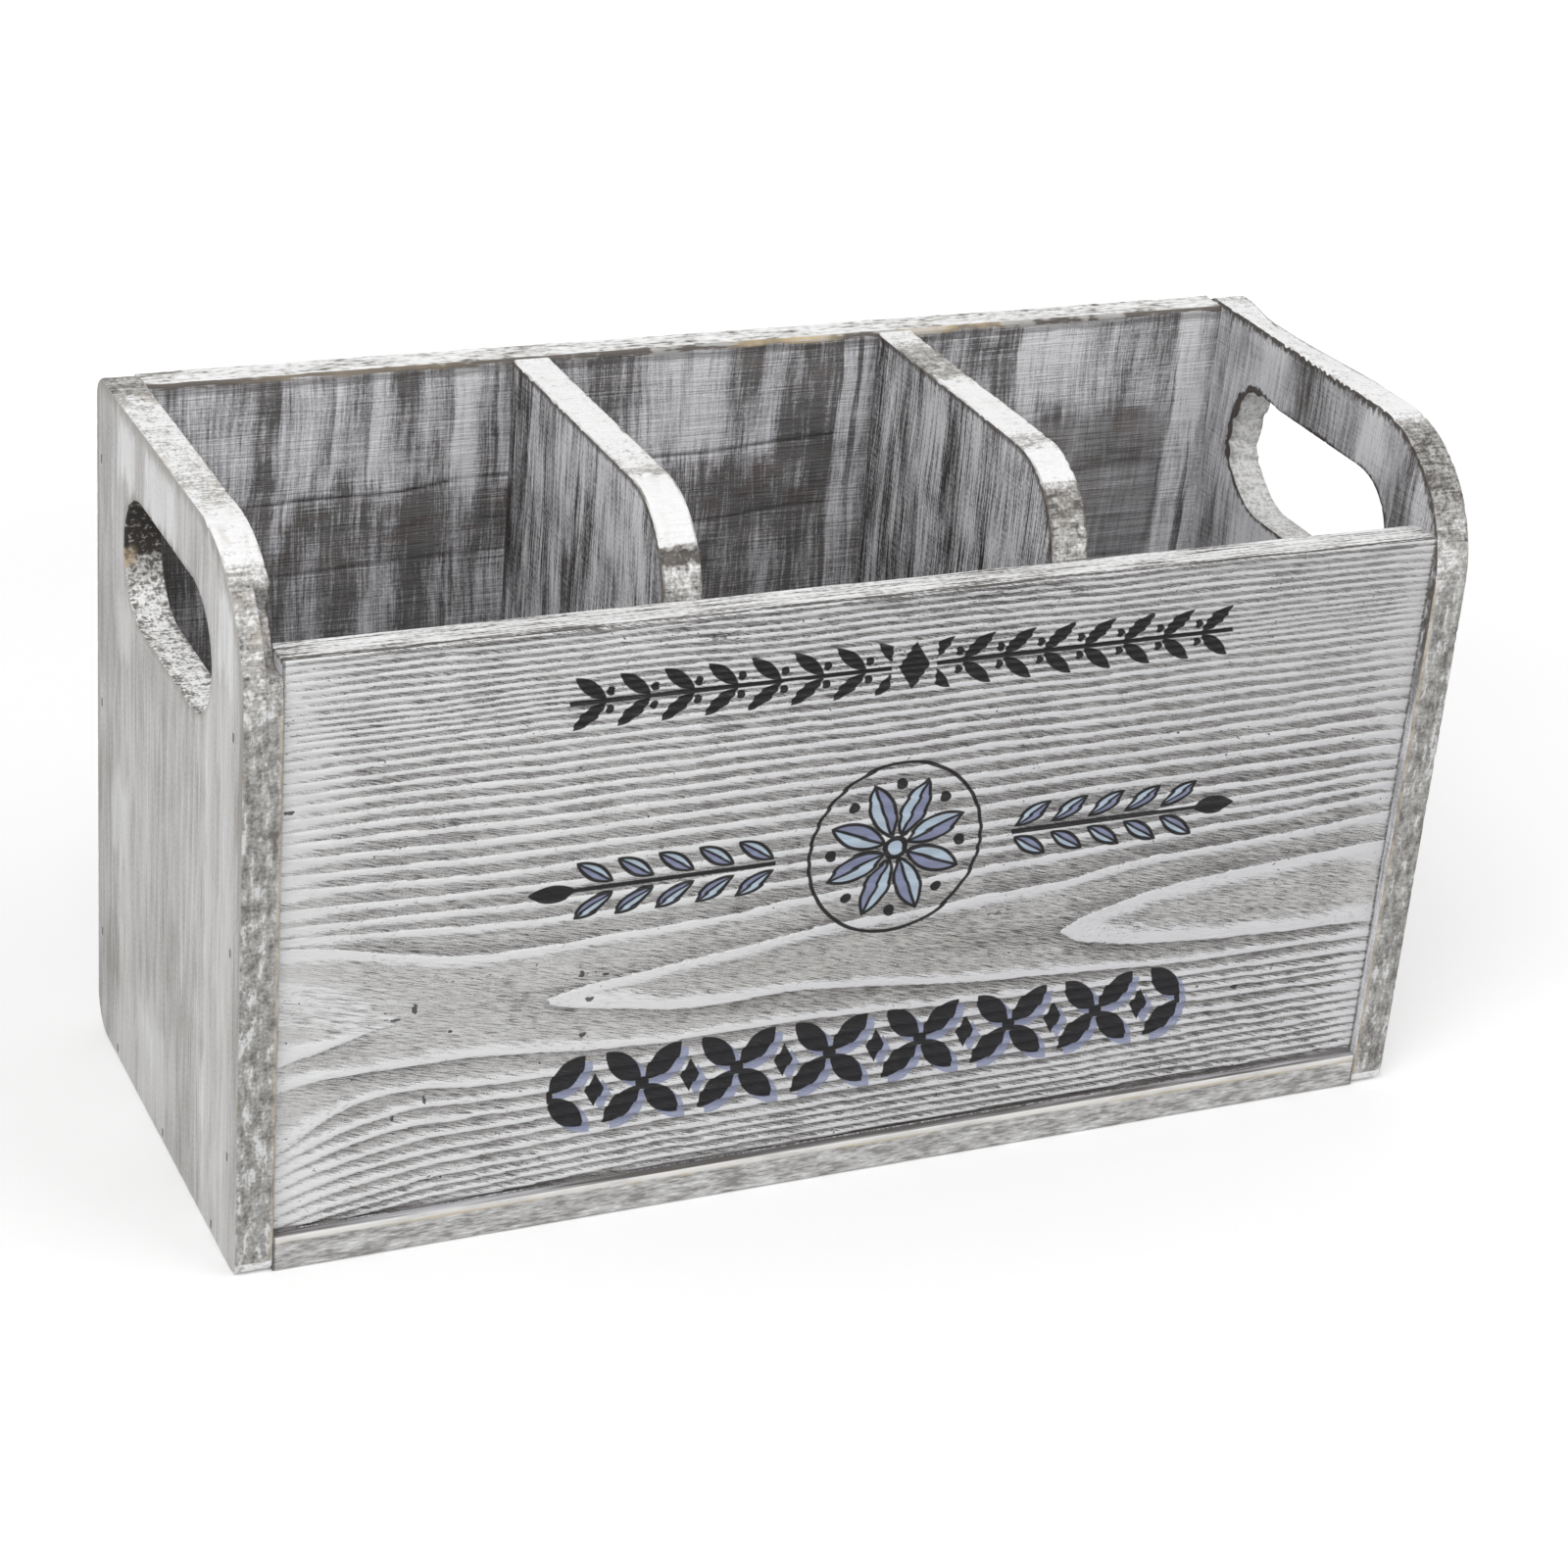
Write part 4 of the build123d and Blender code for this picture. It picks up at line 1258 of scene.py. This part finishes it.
def bottomWood():
    # level streaks on the front edge with a pale upper arris, dark strokes on the floor inside
    book = Book("bottomWood")
    x, y, z = book.x, book.y, book.z
    faced = book.layer("faced")
    streak = brushed(book, z, x, bottomEdgeStrokes, 70)
    edge = book.mix(tint(138, 137, 135), tint(184, 183, 182), streak.over(0.0, 0.6))
    edge = book.mix(edge, tint(218, 218, 218), streak.over(0.5, 1.1))
    pale = z.over(7.6, 8.3) * (book.noise(x, z, (22, 5), 74) * 0.3 + 0.85).clamp()
    edge = book.mix(edge, tint(226, 224, 220), pale)
    tan = z.band(7.5, 8.2, 0.3) * book.noise(x, z, (18, 6), 76).over(-0.2, 0.5)
    edge = book.mix(edge, tint(200, 186, 160), tan * 0.7)
    # a painted shadow line in the joint with each end
    edge = book.mix(edge, tint(84, 80, 76), abs(x).over(149.8, 150.4) * 0.8)
    floor = brushed(book, y, x, floorStrokes, 75)
    inside = book.mix(paints["stain"], paints["cool"], floor.over(0.0, 0.9))
    under = book.mix(tint(122, 116, 108), tint(178, 175, 170), (floor * 0.7 + 0.1).over(0.0, 0.9))
    # the holes of the set brads, painted as shade and bare wood
    under = book.mix(under, paints["socket"], bradHoleShade(x, y, bradRows["underside"]) * 0.85)
    rest = book.mix(under, inside, z.over(8.4, 8.9))
    colour = book.mix(rest, edge, faced.over(0.35, 0.6) + y.over(62.3, 62.8))
    return book.finish(colour, 0.64, streak * 0.4, 0.12)


def nailSteel():
    # dull zinc with a little rust
    book = Book("nailSteel")
    cloud = book.noise3((1.2, 1.2, 1.2), 80)
    colour = book.mix(tint(118, 117, 115), tint(122, 92, 70), (cloud * 0.6).clamp())
    return book.finish(colour, 0.5, cloud, 0.02)


def coat(piece, material):
    # gives a piece its one material
    piece.data.materials.clear()
    piece.data.materials.append(material)


# Stage, lamps and camera

stageLook = {
    "floor": 4.0,             # its width in metres, and the points along it
    "points": 9,
    "glow": 0.14,             # the floor's own light near the box, and how much more there is far away
    "farGlow": 0.5,
    "far": (350, 900),
    "world": 0.52,
}
lampLook = (
    # name, place in metres, size, watts
    ("keyLamp", (-1.0, -1.0, 1.8), 1.3, 22.0),
    ("fillLamp", (0.9, -0.95, 1.85), 1.3, 9.6),
    ("topLamp", (0.2, 0.6, 2.0), 1.5, 4.0),
)
cameraLook = {"place": (-374.8, -768.9, 502.4), "turn": 26.22, "tilt": 26.27, "roll": 5.08, "lens": 84.92}


def makeStage():
    # a white floor that keeps the shadow
    size, count = stageLook["floor"], stageLook["points"]
    steps = np.linspace(-size / 2, size / 2, count)
    across, along = np.meshgrid(steps, steps, indexing="ij")
    points = np.stack([across, along, np.zeros_like(across)], -1).reshape(-1, 3)
    index = np.arange(count**2).reshape(count, count)
    quads = np.stack([index[:-1, :-1], index[1:, :-1], index[1:, 1:], index[:-1, 1:]], -1).reshape(-1, 4)
    mesh = bpy.data.meshes.new("floor")
    mesh.from_pydata(points.tolist(), [], quads.tolist())
    floor = bpy.data.objects.new("floor", mesh)
    bpy.context.scene.collection.objects.link(floor)
    book = Book("floorPaper")
    seen = book.node("ShaderNodeLightPath", {}, {}, "Is Camera Ray")
    paper = book.noise(book.x, book.y, (3.0, 3.0), 90) * 0.004 + 0.88
    colour = book.node("ShaderNodeCombineColor", {}, {0: paper, 1: paper, 2: paper})
    diffuse = book.node("ShaderNodeBsdfDiffuse", {}, {"Color": colour})
    far = (book.x * book.x + book.y * book.y).math("SQRT").over(*stageLook["far"])
    strength = seen * (far * stageLook["farGlow"] + stageLook["glow"])
    glow = book.node("ShaderNodeEmission", {}, {"Color": (1, 1, 1, 1), "Strength": strength})
    both = book.node("ShaderNodeAddShader", {}, {0: diffuse, 1: glow})
    book.node("ShaderNodeOutputMaterial", {}, {"Surface": both})
    floor.data.materials.append(book.owner)


def makeWorld():
    # a plain world, white to the camera and in mirrors and dimmer as a light
    world = bpy.data.worlds.new("studio")
    bpy.context.scene.world = world
    book = Book("studio", world)
    seen = book.node("ShaderNodeLightPath", {}, {}, "Is Camera Ray")
    mirrored = book.node("ShaderNodeLightPath", {}, {}, "Is Glossy Ray")
    dim = stageLook["world"]
    strength = seen.math("MAXIMUM", mirrored) * (1 - dim) + dim
    sky = book.node("ShaderNodeBackground", {}, {"Color": (1, 1, 1, 1), "Strength": strength})
    book.node("ShaderNodeOutputWorld", {}, {"Surface": sky})


def makeLamps():
    # square area lamps that look at the box
    middle = Vector((0, 0, 0.09))
    for name, place, size, watts in lampLook:
        lamp = bpy.data.lights.new(name, "AREA")
        lamp.shape = "SQUARE"
        lamp.size, lamp.energy = size, watts
        holder = bpy.data.objects.new(name, lamp)
        holder.location = place
        holder.rotation_euler = (middle - Vector(place)).to_track_quat("-Z", "Y").to_euler()
        bpy.context.scene.collection.objects.link(holder)


def makeCamera():
    # turned from straight ahead, tilted down and rolled
    look = cameraLook
    turn, tilt, roll = (math.radians(look[key]) for key in ("turn", "tilt", "roll"))
    ahead = Vector((math.sin(turn) * math.cos(tilt), math.cos(turn) * math.cos(tilt), -math.sin(tilt)))
    level = Vector((math.cos(turn), -math.sin(turn), 0))
    upright = level.cross(ahead)
    right = level * math.cos(roll) + upright * math.sin(roll)
    up = right.cross(ahead)
    camera = bpy.data.cameras.new("camera")
    camera.sensor_width, camera.sensor_fit, camera.lens = 36.0, "HORIZONTAL", look["lens"]
    camera.clip_start = 0.01
    holder = bpy.data.objects.new("camera", camera)
    turned = Matrix((right, up, -ahead)).transposed().to_4x4()
    holder.matrix_world = Matrix.Translation([value * mm for value in look["place"]]) @ turned
    bpy.context.scene.collection.objects.link(holder)
    bpy.context.scene.camera = holder


makeCamera()
makeStage()
makeWorld()
makeLamps()
bpy.context.scene.view_settings.view_transform = "Standard"
print("camera, stage and lamps are in place")

panels = ((-1, "left", leftEndCoat, leftDividerCoat), (1, "right", rightEndCoat, rightDividerCoat))
for side, name, endCoat, dividerCoat in panels:
    coat(makeEnd(side), panelWood(name + "EndWood", endCoat, 100 + 20 * side))
    coat(makeDivider(side), panelWood(name + "DividerWood", dividerCoat, 200 + 20 * side))
coat(makeFront(), frontWood())
coat(makeBack(), backWood())
coat(makeBottom(), bottomWood())
steel = nailSteel()
for node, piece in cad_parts.items():
    if node.endswith("_nails"):
        coat(piece, steel)
print("pieces are made and coated")
